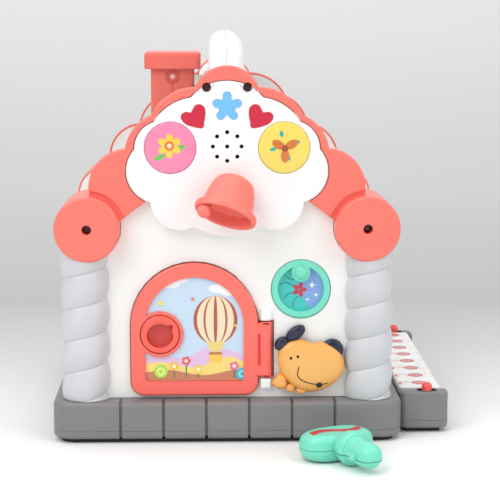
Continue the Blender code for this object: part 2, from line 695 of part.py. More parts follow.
def roof_half(side, name):
    outer = roof_line(ROOF["step"], HANDLE["seam"])
    inner = roof_line(ROOF["step"] + ROOF["thick"], HANDLE["seam"])
    skin = outer + inner[::-1]
    near = BOARD["far"] + GAP
    body = plate(name, [(side * x, z) for x, z in skin], near, -near)
    reach = ROLL["deep"] + PLAY
    for low, high in ((FRONT - OVER, FRONT + reach), (BACK - reach, BACK + OVER)):
        cut(body, rod("roll_room", ROLL["radius"] + PLAY, low, high, side * ROLL["x"], ROLL["z"], "Y", LARGE))
        # The skin outside the roll goes with it.
        cut(body, box("eave_room", *sorted((side * ROLL["x"], side * (ROLL["x"] + 2 * ROLL["radius"]))), low, high, ROOF["fascia"] - OVER, ROLL["z"] + ROLL["radius"] * 0.76))
    return body


def left_roof():
    body = roof_half(-1, "roof_left")
    c, h = CHIMNEY, CHIMNEY["half"] + GAP
    hole = plan(c["x"] - h, c["x"] + h, c["y"] - h, c["y"] + h, c["corner"] + GAP)
    cut(body, plate("chimney_hole", hole, c["low"] - OVER, CAP["top"], axis="Z"))
    return finish(body, WHITE)


def gable(name, end):
    # One red moulding: the scalloped board with a roll at each eave. End is -1 for the front, 1 for the back.
    edge = gable_edge()
    if end > 0:
        edge += scalloped(sized([EAVE_SHARES], GABLE), edge[-1], 5)[1:]
    outline = mirrored(edge + sized(BOARD_FOOT_SHARES, GABLE))
    near, far = BOARD["near"], BOARD["far"]
    if end < 0:
        body = plate(name, outline, near, far, BOARD["rim"])
    else:
        body = plate(name, outline, -far, -near, 0, BOARD["rim"])
    for side in (-1, 1):
        x, z, r, rim = side * ROLL["x"], ROLL["z"], ROLL["radius"], ROLL["rim"]
        floor = near + BOARD["groove"]
        groove = (near - OVER, floor) if end < 0 else (-floor, -near + OVER)
        cut(body, rod("groove", ROLL["groove"], *groove, x, z, "Y", LARGE))
        profile = [(0, FRONT), (r - rim, FRONT)]
        profile += [(r - rim + rim * math.sin(QUARTER * k / 2), FRONT + rim - rim * math.cos(QUARTER * k / 2)) for k in (1, 2)]
        profile += [(r, FRONT + ROLL["deep"]), (0, FRONT + ROLL["deep"])]
        if end > 0:
            profile = [(radius, -level) for radius, level in profile]
        join(body, turned("roll", profile, x, z, "Y", LARGE))
        hole = (FRONT - OVER, FRONT + ROLL["hole_deep"]) if end < 0 else (BACK - ROLL["hole_deep"], BACK + OVER)
        cut(body, rod("screw_hole", ROLL["hole"], *hole, x, z, "Y", SMALL))
    if end < 0:
        cut(body, plate("cloud_room", inset(cloud_outline(), -CLOUD["gap"]), near - OVER, far + OVER))
        for side in (-1, 1):
            cut(body, rod("screw_hole", TOP_SCREW["hole"], near - OVER, far + OVER, side * TOP_SCREW["x"], TOP_SCREW["z"], "Y", SMALL))
    return finish(body, CORAL)


def handle_half(side, name):
    # Half of the ridge and of the grip: two crown blocks with the grip arched between them.
    crown = top_half(GABLE, CROWN_SHARES, (), 8)
    x, z = crown[-1]
    low = ROOF["flat"] + GAP
    section = inset(crown + [(0, z)], ROOF["step"])[: len(crown)]
    section = [(max(px, HANDLE["seam"]), pz) for px, pz in section if pz > low]
    section[0] = (HANDLE["seam"], section[0][1])
    section += [(section[-1][0] + GAP, low), (HANDLE["seam"], low)]
    outline = [(side * px, pz) for px, pz in section]
    near, far = BOARD["far"] + GAP, FRONT + HANDLE["block"]
    body = plate(name, outline, near, far, 0, ROOF["thick"])
    other = plate("rear_block", outline, -far, -near, ROOF["thick"])
    join(body, other, grip(side))
    return finish(body, WHITE)


def grip(side):
    half, rise, drop, seam = HANDLE["half"], HANDLE["rise"], HANDLE["drop"], HANDLE["seam"]
    section = [(seam, rise)]
    section += [(half * math.sin(QUARTER * k / 6), rise * math.cos(QUARTER * k / 6)) for k in range(1, 7)]
    section += [(half * 0.93, -drop * 0.7), (half * 0.72, -drop), (seam, -drop)]
    start, low, high = FRONT + GRIP["start"], GRIP["low"], GRIP["high"]
    line = [(start * (1 - along), low + (high - low) * up) for along, up in GRIP_SHARES]
    line += [(-y, z) for y, z in reversed(line[:-1])]
    loops = []
    for k, (y, z) in enumerate(line):
        before, after = line[max(k - 1, 0)], line[min(k + 1, len(line) - 1)]
        along = Vector((after[0] - before[0], after[1] - before[1])).normalized()
        up = Vector((-along.y, along.x))
        loops.append([(side * px, y + up.x * v, z + up.y * v) for px, v in section])
    return solid("grip", loops)


# Walls


def gable_wall_outline():
    # The wall fills the roof skin from inside; its sides run down behind the pillars.
    line = roof_line(ROOF["step"] + ROOF["thick"] + GAP, 0, 3)
    top = [(px, pz) for px, pz in line if px < ROLL["x"]]
    side = top[-1][0]
    return mirrored(top + [(side, BASE["top"] + GAP)])


def pillar_room(end):
    tools = []
    radius = PILLAR["valley"] + PILLAR["bulge"] + PLAY
    for side in (-1, 1):
        y = end * (BACK - PILLAR["inset"])
        tools.append(rod("pillar_room", radius, BASE["top"] - OVER, PILLAR["top"] + OVER, side * PILLAR["x"], y, "Z", LARGE))
        # Nothing of the wall is left outside the pillar.
        near, far = sorted((end * (BACK + OVER), end * (BACK - PILLAR["inset"])))
        x0, x1 = sorted((side * PILLAR["x"], side * (PILLAR["x"] + 2 * radius)))
        tools.append(box("outer_room", x0, x1, near, far, BASE["top"] - OVER, PILLAR["top"]))
        near, far = sorted((end * (BACK + OVER), end * (BACK - ROLL["deep"])))
        tools.append(rod("roll_room", ROLL["radius"] + PLAY, near, far, side * ROLL["x"], ROLL["z"], "Y", LARGE))
    return tools


def door_outline(amount):
    return arch(DOOR["x"], DOOR["half"] - amount, DOOR["spring"], DOOR["foot"] + amount, DOOR["corner"] - amount)


def front_wall():
    near, far = WALL["near"], WALL["far"]
    body = plate("front_wall", gable_wall_outline(), near, far)
    cut(body, *pillar_room(-1))
    # Doorway with room for the hinge leaf.
    gap = DOOR["gap"]
    cut(body, plate("doorway", door_outline(-gap), near - OVER, far + OVER))
    h = HINGE
    leaf = (DOOR["x"], h["x"] + h["radius"] + gap, near - OVER, far + OVER, h["low"] - gap, h["high"] + gap)
    cut(body, box("leaf_room", *leaf))
    cut(body, rod("dial_hole", DIAL["ring"] + PLAY, near - OVER, far + OVER, DIAL["x"], DIAL["z"], "Y", LARGE))
    cut(body, rod("stem_hole", DOG_STEM["radius"] + PLAY, near - OVER, far + OVER, DOG["x"], DOG["z"], "Y", SMALL))
    cut(body, rod("speaker_hole", SPEAKER["clear"], near - OVER, far + OVER, 0, SPEAKER["z"], "Y", MEDIUM))
    # Knuckles above and below the hinge leaf carry the pin.
    k = KNUCKLE
    for low in (h["high"] + gap, h["low"] - gap - k["tall"]):
        outline = rounded(h["x"] - k["half"], h["x"] + k["half"], low, low + k["tall"], k["rim"], 2)
        join(body, plate("knuckle", outline, k["near"], far + k["rim"], k["rim"]))
    cut(body, rod("pin_bore", h["pin"] + GAP, h["low"] - k["tall"] * 0.9, h["high"] + k["tall"] * 0.9, h["x"], h["y"], "Z", TINY))
    return finish(body, WHITE)


def rear_wall():
    near, far = -WALL["far"], -WALL["near"]
    body = plate("rear_wall", gable_wall_outline(), near, far)
    cut(body, *pillar_room(1))
    p = PANEL
    cut(body, plate("panel_hole", rounded(-p["half"], p["half"], p["low"], p["high"], p["corner"]), near - OVER, far + OVER))
    return finish(body, WHITE)


def sorting_panel():
    # A panel with shaped holes, set in the rear wall; its lip lies against the wall from outside.
    p = PANEL
    body = plate("sorting_panel", rounded(-p["half"] + GAP, p["half"] - GAP, p["low"] + GAP, p["high"] - GAP, p["corner"]), p["near"], p["far"])
    lip = rounded(-p["half"] - p["lip"], p["half"] + p["lip"], p["low"] - p["lip"], p["high"] + p["lip"], p["corner"] + p["lip"])
    join(body, plate("lip", lip, -WALL["near"] + GAP, p["far"] + GAP * 6, 0, GAP * 3))
    s = SORT
    for grow, change, near, far in ((s["rim"], join, p["far"], p["far"] + p["lip"]), (0, cut, p["near"] - OVER, p["far"] + 2 * p["lip"])):
        for sides, across, up, share, degrees in SORT_SHARES:
            z = s["high"] if up else s["low"]
            change(body, plate("hole", polygon(across * s["x"], z, share * s["size"] + grow, sides, degrees), near, far))
    return finish(body, MINT)


def side_wall(name, side):
    x0, x1 = sorted((side * WALL["side"], side * (WALL["side"] - WALL["side_thick"])))
    reach = BACK - PILLAR["inset"] - PILLAR["valley"] - PILLAR["bulge"] - PLAY
    body = box(name, x0, x1, -reach, reach, BASE["top"] + GAP, WALL["side_top"])
    for end in (-1, 1):
        near, far = sorted((end * (BACK + OVER), end * (BACK - ROLL["deep"] - PLAY)))
        cut(body, rod("roll_room", ROLL["radius"] + PLAY, near, far, side * ROLL["x"], ROLL["z"], "Y", LARGE))
    return finish(body, WHITE)


# Cloud panel


def star_outline():
    # Round arms around the middle, with wide dips between them.
    points = []
    for k in range(STAR["points"]):
        angle = QUARTER + 2 * math.pi * k / STAR["points"]
        cx, cz = STAR["reach"] * math.cos(angle), STAR["reach"] * math.sin(angle)
        for j in range(-2, 3):
            turn = angle + j * QUARTER / 2
            points.append((cx + STAR["arm"] * math.cos(turn), STAR["z"] + cz + STAR["arm"] * math.sin(turn)))
        half_step = math.pi / STAR["points"]
        for side in (-1, 1):
            dip = angle + half_step * (1 + side * STAR_DIP_SHARE)
            points.append((STAR["dip"] * math.cos(dip), STAR["z"] + STAR["dip"] * math.sin(dip)))
    return points


def heart_outline(side, amount=0):
    # A tilted heart: two lobes and a tip that points at the speaker.
    half = HEART["half"]
    points = [(side * (HEART["x"] + x * half), HEART["z"] + z * half) for x, z in flowing(HEART_SHARES, 2)]
    return inset(points, -amount) if amount else points


def grown(points, amount):
    return inset(points, -amount)


def cloud_panel():
    near, far = CLOUD["near"], CLOUD["far"]
    outline = cloud_outline()
    body = plate("cloud_panel", outline, near, far, CLOUD["rim"])
    cut(body, plate("hollow", inset(outline, CLOUD["wall"]), near + CLOUD["face"], far + OVER))
    b = BUTTON
    for side in (-1, 1):
        cut(body, rod("button_hole", b["radius"] + GAP, near - OVER, far, side * b["x"], b["z"], "Y", LARGE))
        cut(body, plate("heart_hole", heart_outline(side, GAP), near - OVER, near + CLOUD["face"] + OVER))
        cut(body, rod("screw_hole", TOP_SCREW["hole"], near - OVER, far + OVER, side * TOP_SCREW["x"], TOP_SCREW["z"], "Y", SMALL))
    cut(body, plate("star_hole", grown(star_outline(), GAP), near - OVER, near + CLOUD["face"] + OVER))
    spots = circle(0, SPEAKER["z"], SPEAKER["ring"], SPEAKER["count"]) + [(0, SPEAKER["z"])]
    for x, z in spots:
        cut(body, rod("sound_hole", SPEAKER["hole"], near - OVER, near + CLOUD["face"] + OVER, x, z, "Y", TINY))
    boss = BELL_BOSS
    cut(body, rod("boss_hole", boss["radius"] + PLAY, near - OVER, near + CLOUD["face"] + OVER, BELL["x"], BELL["z"] - boss["drop"], "Y", SMALL))
    return finish(body, WHITE)


def push_button(name, side, colour):
    b = BUTTON
    near, back = CLOUD["near"] - b["dome"], CLOUD["near"] + CLOUD["face"] + PLAY
    profile = [(0, near - b["dome"])]
    profile += [(b["radius"] / 2, near - b["dome"] * 0.75)]
    profile += [(b["radius"] - b["dome"] / 2, near), (b["radius"] - GAP, near + b["dome"] / 2), (b["radius"] - GAP, back)]
    profile += [(b["flange"], back), (b["flange"], back + b["flange_thick"]), (0, back + b["flange_thick"])]
    x = side * b["x"]
    body = turned(name, profile, x, b["z"], "Y", LARGE)
    return finish(body, colour, GLOSSY, pivot=(x, near, b["z"]))


def lens(name, outline, colour):
    near = CLOUD["near"] - GAP
    body = plate(name, outline, near, near + CLOUD["face"], GAP)
    return finish(body, colour, GLOSSY)


def speaker():
    s = SPEAKER
    face = CLOUD["near"] + CLOUD["face"] + GAP
    r, deep = s["radius"], s["deep"]
    profile = [(0, face + deep * 0.42), (r * 0.32, face + deep * 0.36), (r * 0.36, face + deep * 0.40)]
    profile += [(r * 0.86, face + deep * 0.06), (r * 0.86, face), (r, face), (r, face + deep * 0.12)]
    profile += [(r * 0.95, face + deep * 0.14), (r * 0.62, face + deep * 0.6), (r * 0.62, face + deep), (0, face + deep)]
    body = turned("speaker", profile, 0, s["z"], "Y", SMALL)
    return finish(body, BLACK, DULL)


def circuit_board():
    c = CIRCUIT
    far = BOARD["far"]
    near = far - c["thick"]
    body = plate("circuit_board", rounded(-c["half"], c["half"], c["low"], c["high"], c["corner"], 2), near, far)
    cut(body, rod("speaker_room", SPEAKER["clear"], near - OVER, far + OVER, 0, SPEAKER["z"], "Y", MEDIUM))
    return finish(body, (0.02, 0.2, 0.08))


def screw(name, x, z, seat):
    s = SCREW
    body = rod(name, s["head"], seat - s["thick"], seat, x, z, "Y", SMALL)
    for w, h in ((s["head"] * 0.7, s["slot"]), (s["slot"], s["head"] * 0.7)):
        cut(body, box("slot", x - w, x + w, seat - s["thick"] - OVER, seat - s["thick"] + s["slot_deep"], z - h, z + h))
    return finish(body, BLACK, GLOSSY, metallic=0.6)


# Bell


def lean():
    # How the bell hangs: mouth toward the front and to the left.
    return Matrix.Rotation(math.radians(BELL["tilt"]), 4, "Y") @ Matrix.Rotation(math.radians(BELL["pitch"]), 4, "X")


def bell():
    b, boss = BELL, BELL_BOSS
    squash = Matrix.Diagonal((1, b["squash"], 1, 1))
    outside = [(0, 0)] + [(r * b["radius"], -z * b["long"]) for r, z in BELL_SHARES]
    outside += [(0, outside[-1][1])]
    inside = [(r * b["radius"], -z * b["long"]) for r, z in BELL_INSIDE_SHARES]
    mouth = inside[0][1]
    inside = [(0, mouth - OVER), (inside[0][0] + OVER / 2, mouth - OVER)] + inside
    body = turned("bell", outside, 0, 0, "Z", MEDIUM)
    hollow = turned("hollow", inside, 0, 0, "Z", MEDIUM)
    for form in (body, hollow):
        form.data.transform(lean() @ squash)
    # The boss turns in the hole of the cloud; a flange behind the face keeps it there.
    back = CLOUD["near"] + CLOUD["face"] + GAP - b["y"]
    end = back + boss["flange_thick"]
    profile = [(0, 0), (boss["radius"], 0), (boss["radius"], back), (boss["flange"], back), (boss["flange"], end), (0, end)]
    join(body, turned("boss", profile, 0, -boss["drop"], "Y", SMALL))
    cut(body, hollow)
    finish(body, CORAL)
    body.location = (b["x"], b["y"], b["z"])
    return body


def clapper(parent):
    # Hangs from the middle of the crown and rests to the left.
    c = CLAPPER
    r, top = c["radius"], -BELL_INSIDE_SHARES[-1][1] * BELL["long"] - GAP * 2
    arm = Vector((c["x"], c["y"], c["z"] - top))
    long = arm.length
    profile = [(0, 0), (c["stem"], -c["stem"]), (c["stem"], r * 0.95 - long)]
    profile += [(r * math.sin(math.pi * k / 6), r * math.cos(math.pi * k / 6) - long) for k in range(1, 6)]
    body = turned("bell_clapper", profile + [(0, -r - long)], 0, 0, "Z", SMALL)
    swing = Vector((0, 0, -1)).rotation_difference(arm).to_matrix().to_4x4()
    body.data.transform(lean() @ Matrix.Translation((0, 0, top)) @ swing)
    finish(body, CORAL)
    body.parent = parent
    return body


# Door


def door():
    d, h, lock = DOOR, HINGE, LOCK
    near, far = d["near"], d["far"]
    # The hinge leaf is part of the outline.
    side, low, high = d["x"] + d["half"], h["low"] + h["step"], h["high"] - h["step"]
    outline = [p for p in door_outline(0) if p[0] < d["x"] or not low < p[1] < high + h["step"]]
    outline += [(side, low), (h["x"], low), (h["x"], high), (side - h["step"] / 4, high)]
    body = plate("door", outline, near, far, d["rim"])
    window = arch(d["x"], d["half"] - d["frame"], d["spring"], d["foot"] + d["frame"], d["window_corner"])
    opening = plate("window", window, near - OVER, far + OVER)
    cut(opening, rod("boss_keep", lock["boss"], near - 2 * OVER, far + 2 * OVER, lock["x"], lock["z"], "Y", LARGE))
    cut(body, opening)
    # A rebate at the back takes the picture panel.
    rebate = plate("rebate", grown(window, PICTURE["edge"] + GAP), PICTURE["near"] - GAP, far + OVER)
    cut(body, rebate)
    join(body, rod("barrel", h["radius"], h["low"], h["high"], h["x"], h["y"], "Z", MEDIUM))
    cut(body, rod("pin_bore", h["pin"] + GAP, h["low"] - OVER, h["high"] + OVER, h["x"], h["y"], "Z", TINY))
    slit_x, third = d["x"] + d["half"] + h["slit"] * 1.4, (h["high"] - h["low"]) / 4
    cut(body, box("slit", slit_x - h["slit"], slit_x + h["slit"], near - OVER, near + h["slit_deep"], h["low"] + third * 0.9, h["high"] - third))
    # Round well for the lock rotor.
    cut(body, rod("rotor_well", lock["rotor"] + PLAY, near - OVER, far + OVER, lock["x"], lock["z"], "Y", LARGE))
    return finish(body, CORAL, pivot=(h["x"], h["y"], (h["low"] + h["high"]) / 2))


def door_picture(parent):
    d, p, lock = DOOR, PICTURE, LOCK
    window = arch(d["x"], d["half"] - d["frame"], d["spring"], d["foot"] + d["frame"], d["window_corner"])
    body = plate("door_picture", grown(window, p["edge"]), p["near"], p["far"])
    cut(body, rod("rotor_room", lock["rotor"] + PLAY, p["near"] - OVER, p["far"] + OVER, lock["x"], lock["z"], "Y", LARGE))
    return finish(body, (0.6, 0.8, 0.95), pivot=tuple(parent.location), parent=parent)


def lock_rotor(parent):
    d, lock, t = DOOR, LOCK, TONGUE
    x, z, r, bowl = lock["x"], lock["z"], lock["rotor"], lock["bowl"]
    near, back = d["near"] - PLAY, WALL["far"] + PLAY
    floor = near + lock["bowl_deep"]
    rim = (r - bowl) * 0.3
    profile = [(0, floor), (bowl * 0.9, floor), (bowl, near + rim * 0.5), (bowl + rim * 0.5, near)]
    profile += [(r - rim, near), (r - rim * 0.3, near + rim * 0.3), (r, near + rim), (r, back), (0, back)]
    body = turned("lock_rotor", profile, x, z, "Y", LARGE)
    # Keyway notch at the upper right of the bowl.
    w, out = lock["notch"], lock["notch_out"]
    c = math.cos(math.radians(40))
    notch = [(x + c * bowl * 0.7 - w, z + c * bowl * 0.7 - w), (x + c * out + w * 0.2, z + c * bowl * 0.62), (x + c * out, z + c * out), (x + c * bowl * 0.62, z + c * out)]
    cut(body, plate("notch", notch, near - OVER, floor))
    tongue = rounded(x - t["half"], x + t["half"], z - t["half"], z + t["reach"], t["half"] * 0.6, 3)
    join(body, plate("tongue", tongue, back - GAP, back + t["thick"]))
    return finish(body, CORAL, pivot=(x, near, z), parent=parent)


def hinge_pin():
    h, k = HINGE, KNUCKLE
    body = rod("hinge_pin", h["pin"], h["low"] - k["tall"] * 0.85, h["high"] + k["tall"] * 0.85, h["x"], h["y"], "Z", TINY)
    return finish(body, PALE_GREY, GLOSSY, metallic=1.0)


# Dial


def dial_ring():
    d, f = DIAL, DIAL_FLANGE
    near, back = d["near"], WALL["far"] + GAP
    r, rim = d["ring"], (d["ring"] - d["window"]) * 0.3
    profile = [(0, near), (r - rim, near), (r - rim * 0.3, near + rim * 0.3), (r, near + rim), (r, back)]
    profile += [(f["radius"], back), (f["radius"], back + f["thick"]), (0, back + f["thick"])]
    body = turned("dial_ring", profile, d["x"], d["z"], "Y", LARGE)
    opening = rod("window", d["window"], near - OVER, back + OVER, d["x"], d["z"], "Y", LARGE)
    cut(opening, rod("lobe_keep", d["lobe"], near - 2 * OVER, back + 2 * OVER, d["x"], d["z"] + d["lobe_up"], "Y", MEDIUM))
    cut(body, opening)
    # A rounded knob for a finger.
    knob, out = d["knob"], d["knob_out"]
    dome = [(knob * math.sin(QUARTER * k / 4), near - out * math.cos(QUARTER * k / 4)) for k in range(5)]
    dome += [(knob, near + rim), (0, near + rim)]
    join(body, turned("knob", dome, d["x"], d["z"] + d["lobe_up"], "Y", MEDIUM))
    # The picture disc sits in a seat at the back.
    seat = (back - PLAY, back + OVER)
    cut(body, rod("seat", d["window"] + rim, *seat, d["x"], d["z"], "Y", LARGE))
    return finish(body, MINT, pivot=(d["x"], near, d["z"]))


def dial_picture(parent):
    d = DIAL
    back = WALL["far"] + GAP
    rim = (d["ring"] - d["window"]) * 0.3
    body = rod("dial_picture", d["window"] + rim - GAP, back - PLAY + GAP, back + DIAL_FLANGE["thick"], d["x"], d["z"], "Y", LARGE)
    return finish(body, (0.25, 0.5, 0.85), pivot=tuple(parent.location), parent=parent)


def dial_keeper():
    # A cup behind the wall that keeps the dial in its hole.
    d, k = DIAL, KEEPER
    near = WALL["far"] + GAP
    r = k["radius"]
    body = turned("dial_keeper", [(0, near), (r, near), (r, near + k["drop"]), (0, near + k["drop"])], d["x"], d["z"], "Y", LARGE)
    cut(body, rod("room", r - k["rim"], near - OVER, near + k["drop"] - k["thick"], d["x"], d["z"], "Y", LARGE))
    cut(body, rod("eye", k["inner"], near - OVER, near + k["drop"] + OVER, d["x"], d["z"], "Y", LARGE))
    return finish(body, WHITE)


# Dog button


def dog_outline(scale, steps=2):
    half, tall = DOG["half"] * scale, DOG["tall"] * scale
    return [(DOG["x"] + px * half, DOG["z"] + pz * tall) for px, pz in flowing(DOG_SHARES, steps)]


def dog_face():
    d = DOG
    x, z = d["x"], d["z"]
    body = plate("dog_face", dog_outline(1), d["near"], d["far"], DOG_RIM)
    big = [(x + px * d["half"], z + pz * d["tall"]) for px, pz in flowing(BIG_TOE_SHARES, 2)]
    rim = TOE_RIM_SHARE * d["half"]
    join(body, plate("toe", big, d["near"] + rim * 0.5, d["far"] - GAP, rim))
    for tx, tz, long, wide, degrees in TOE_SHARES:
        radius = wide * d["half"]
        toe = oval(x + tx * d["half"], z + tz * d["tall"], long * d["half"], radius, degrees, SMALL)
        join(body, plate("toe", toe, d["near"] + radius * 0.9, d["far"] - GAP, radius * 0.62))
    # A stem runs through the wall, with a snap flange behind it.
    stem, back = DOG_STEM, WALL["far"] + GAP
    end = back + stem["flange_thick"]
    profile = [(0, d["far"] - OVER), (stem["radius"], d["far"] - OVER), (stem["radius"], back)]
    profile += [(stem["flange"], back), (stem["flange"], end), (0, end)]
    join(body, turned("stem", profile, x, z, "Y", SMALL))
    return finish(body, ORANGE, SATIN, pivot=(x, d["near"], z))


def dog_ears(parent):
    # The ears show round the face and hang together on a web behind it.
    d, e = DOG, EARS
    x, z = d["x"], d["z"]
    near = d["far"] + GAP
    far = near + e["web"]
    body = plate("dog_ears", dog_outline(0.96, 1), near, far)
    for cx, cz, long, wide, degrees in EAR_SHARES:
        half_wide = wide * d["half"]
        shape = oval(x + cx * d["half"], z + cz * d["tall"], long * d["half"], half_wide, degrees, MEDIUM)
        lobe = plate("ear", shape, e["near"], far + GAP, half_wide * 0.6)
        cut(lobe, plate("face_room", grown(dog_outline(1), GAP), e["near"] - OVER, near - GAP / 2))
        join(body, lobe)
    cut(body, rod("stem_room", DOG_STEM["radius"] + GAP, near - OVER, far + OVER, x, z, "Y", SMALL))
    return finish(body, NAVY, GLOSSY, pivot=tuple(parent.location), parent=parent)


# Chimney


def chimney_body():
    c, h, w = CHIMNEY, CHIMNEY["half"], CHIMNEY["wall"]
    body = plate("chimney_body", plan(c["x"] - h, c["x"] + h, c["y"] - h, c["y"] + h, c["corner"]), c["low"], c["top"], axis="Z")
    inner = plan(c["x"] - h + w, c["x"] + h - w, c["y"] - h + w, c["y"] + h - w, c["corner"] / 2)
    cut(body, plate("bore", inner, c["low"] - OVER, c["top"] + OVER, axis="Z"))
    return finish(body, DARK_CORAL, GLOSSY)


def chimney_cap():
    c, p = CHIMNEY, CAP
    h = p["half"]
    body = plate("chimney_cap", plan(c["x"] - h, c["x"] + h, c["y"] - h, c["y"] + h, p["corner"]), p["low"], p["top"], p["rim"] * 0.3, p["rim"], "Z")
    k = c["half"] + GAP
    cut(body, plate("socket", plan(c["x"] - k, c["x"] + k, c["y"] - k, c["y"] + k, c["corner"] + GAP), p["low"] - OVER, c["top"] + GAP, axis="Z"))
    return finish(body, CORAL, GLOSSY)


def chimney_lamp():
    # A lamp on a thin stalk behind the clear front wall; its foot bridges the bore.
    c, lamp = CHIMNEY, LAMP
    near = c["y"] - c["half"] + c["wall"] + lamp["setback"]
    x, z, r = c["x"], lamp["z"], lamp["radius"]
    profile = [(0, near - lamp["dome"])]
    profile += [(lamp["dome"] * math.sin(QUARTER * k / 3), near - lamp["dome"] * math.cos(QUARTER * k / 3)) for k in (1, 2, 3)]
    profile += [(r, near), (r, near + lamp["thick"]), (0, near + lamp["thick"])]
    body = turned("chimney_lamp", profile, x, z, "Y", MEDIUM)
    low = c["low"]
    s = lamp["stalk"]
    join(body, box("stalk", x - s, x + s, near + lamp["thick"] / 3, near + lamp["thick"], low, z))
    half = c["half"] - c["wall"] - GAP
    join(body, box("foot", x - half, x + half, near, near + lamp["thick"] * 2, low, low + lamp["foot"]))
    return finish(body, DARK_CORAL, SATIN)


# Loose key


def key_whole(name):
    k = KEY
    loops = []
    for scale, share in KEY_HEAD_SHARES:
        level = k["low"] + (k["high"] - k["low"]) * share - k["z"]
        points = []
        for j in range(MEDIUM):
            angle = 2 * math.pi * j / MEDIUM
            c, s = math.cos(angle), math.sin(angle)
            squareness = (abs(c) ** 2.6 + abs(s) ** 2.6) ** (-1 / 2.6)
            points.append((c * squareness * k["half_long"] * scale, s * squareness * k["half_wide"] * scale, level))
        loops.append(points)
    body = solid(name, loops)
    r, long = KEY_SHAFT["radius"], KEY_SHAFT["long"]
    profile = [(share * r, along * long) for share, along in KEY_SHAFT_SHARES]
    join(body, turned("shaft", [(0, 0), (profile[0][0], 0)] + profile + [(0, long)], 0, 0, "X", MEDIUM))
    t = KEY_TAB
    join(body, box("tab", t["near"], t["far"], -t["out"], 0, -t["half"], t["half"]))
    return body


def key_half(name, upper, parent=None):
    k = KEY
    body = key_whole(name)
    reach = k["half_wide"] * 3
    seam = k["seam"] - k["z"]
    low, high = (seam + GAP / 2, reach) if upper else (-reach, seam - GAP / 2)
    trim(body, box("half", -reach, reach, -reach, reach, low, high))
    finish(body, MINT, GLOSSY)
    if parent is None:
        body.location = (k["x"], k["y"], k["z"])
        body.rotation_euler = (0, 0, math.radians(k["turn"]))
    else:
        body.parent = parent
    return body


base_upper()
base_cover()
battery_door()
wing_housing()
wing_cover()
key_axle()
for number in range(PIANO["count"]):
    piano_key(number)
for where, y in KNOB_SPOTS:
    switch_knob(where, y)
for word, side in (("left", -1), ("right", 1)):
    for place_word, end in (("front", -1), ("rear", 1)):
        pillar(f"pillar_{place_word}_{word}", side, end)
    side_wall(f"side_wall_{word}", side)
    handle_half(side, f"handle_{word}")
front_wall()
rear_wall()
sorting_panel()
left_roof()
finish(roof_half(1, "roof_right"), WHITE)
gable("front_gable", -1)
gable("rear_gable", 1)
cloud_panel()
push_button("pink_button", -1, (1.0, 0.26, 0.55))
push_button("yellow_button", 1, (0.97, 0.85, 0.14))
lens("star_lens", star_outline(), (0.19, 0.58, 1.0))
lens("heart_left", heart_outline(-1), (0.65, 0.01, 0.05))
lens("heart_right", heart_outline(1), (0.65, 0.01, 0.05))
speaker()
circuit_board()
for word, side in (("left", -1), ("right", 1)):
    screw(f"roll_screw_{word}", side * ROLL["x"], ROLL["z"], FRONT + ROLL["hole_deep"] - GAP)
    screw(f"top_screw_{word}", side * TOP_SCREW["x"], TOP_SCREW["z"], BOARD["far"])
clapper(bell())
leaf = door()
door_picture(leaf)
lock_rotor(leaf)
hinge_pin()
dial_picture(dial_ring())
dial_keeper()
dog_ears(dog_face())
chimney_body()
chimney_cap()
chimney_lamp()
key_half("key_bottom", False, key_half("key_top", True))
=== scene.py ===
import bmesh
import bpy
import math
import numpy as np
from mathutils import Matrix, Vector
from mathutils.geometry import tessellate_polygon


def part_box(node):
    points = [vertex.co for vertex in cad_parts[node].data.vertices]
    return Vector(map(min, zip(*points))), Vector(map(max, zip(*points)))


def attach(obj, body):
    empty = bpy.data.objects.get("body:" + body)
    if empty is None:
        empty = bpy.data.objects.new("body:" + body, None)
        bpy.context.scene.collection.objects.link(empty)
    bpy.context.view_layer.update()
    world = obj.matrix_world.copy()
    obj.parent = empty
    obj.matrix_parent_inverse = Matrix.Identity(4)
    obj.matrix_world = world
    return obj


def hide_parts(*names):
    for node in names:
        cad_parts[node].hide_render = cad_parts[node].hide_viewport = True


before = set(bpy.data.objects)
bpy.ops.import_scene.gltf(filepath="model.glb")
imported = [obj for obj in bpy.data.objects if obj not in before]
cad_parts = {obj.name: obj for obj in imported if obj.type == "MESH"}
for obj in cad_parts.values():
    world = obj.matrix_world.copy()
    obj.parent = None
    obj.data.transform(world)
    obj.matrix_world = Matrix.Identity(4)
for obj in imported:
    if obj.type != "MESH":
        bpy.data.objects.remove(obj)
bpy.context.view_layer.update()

# All sizes are in millimetres and become metres in makePiece. The front faces -Y.
tau = 2 * math.pi
sides = (("left", -1), ("right", 1))


# Shader maths: sums on a Wire add Math nodes

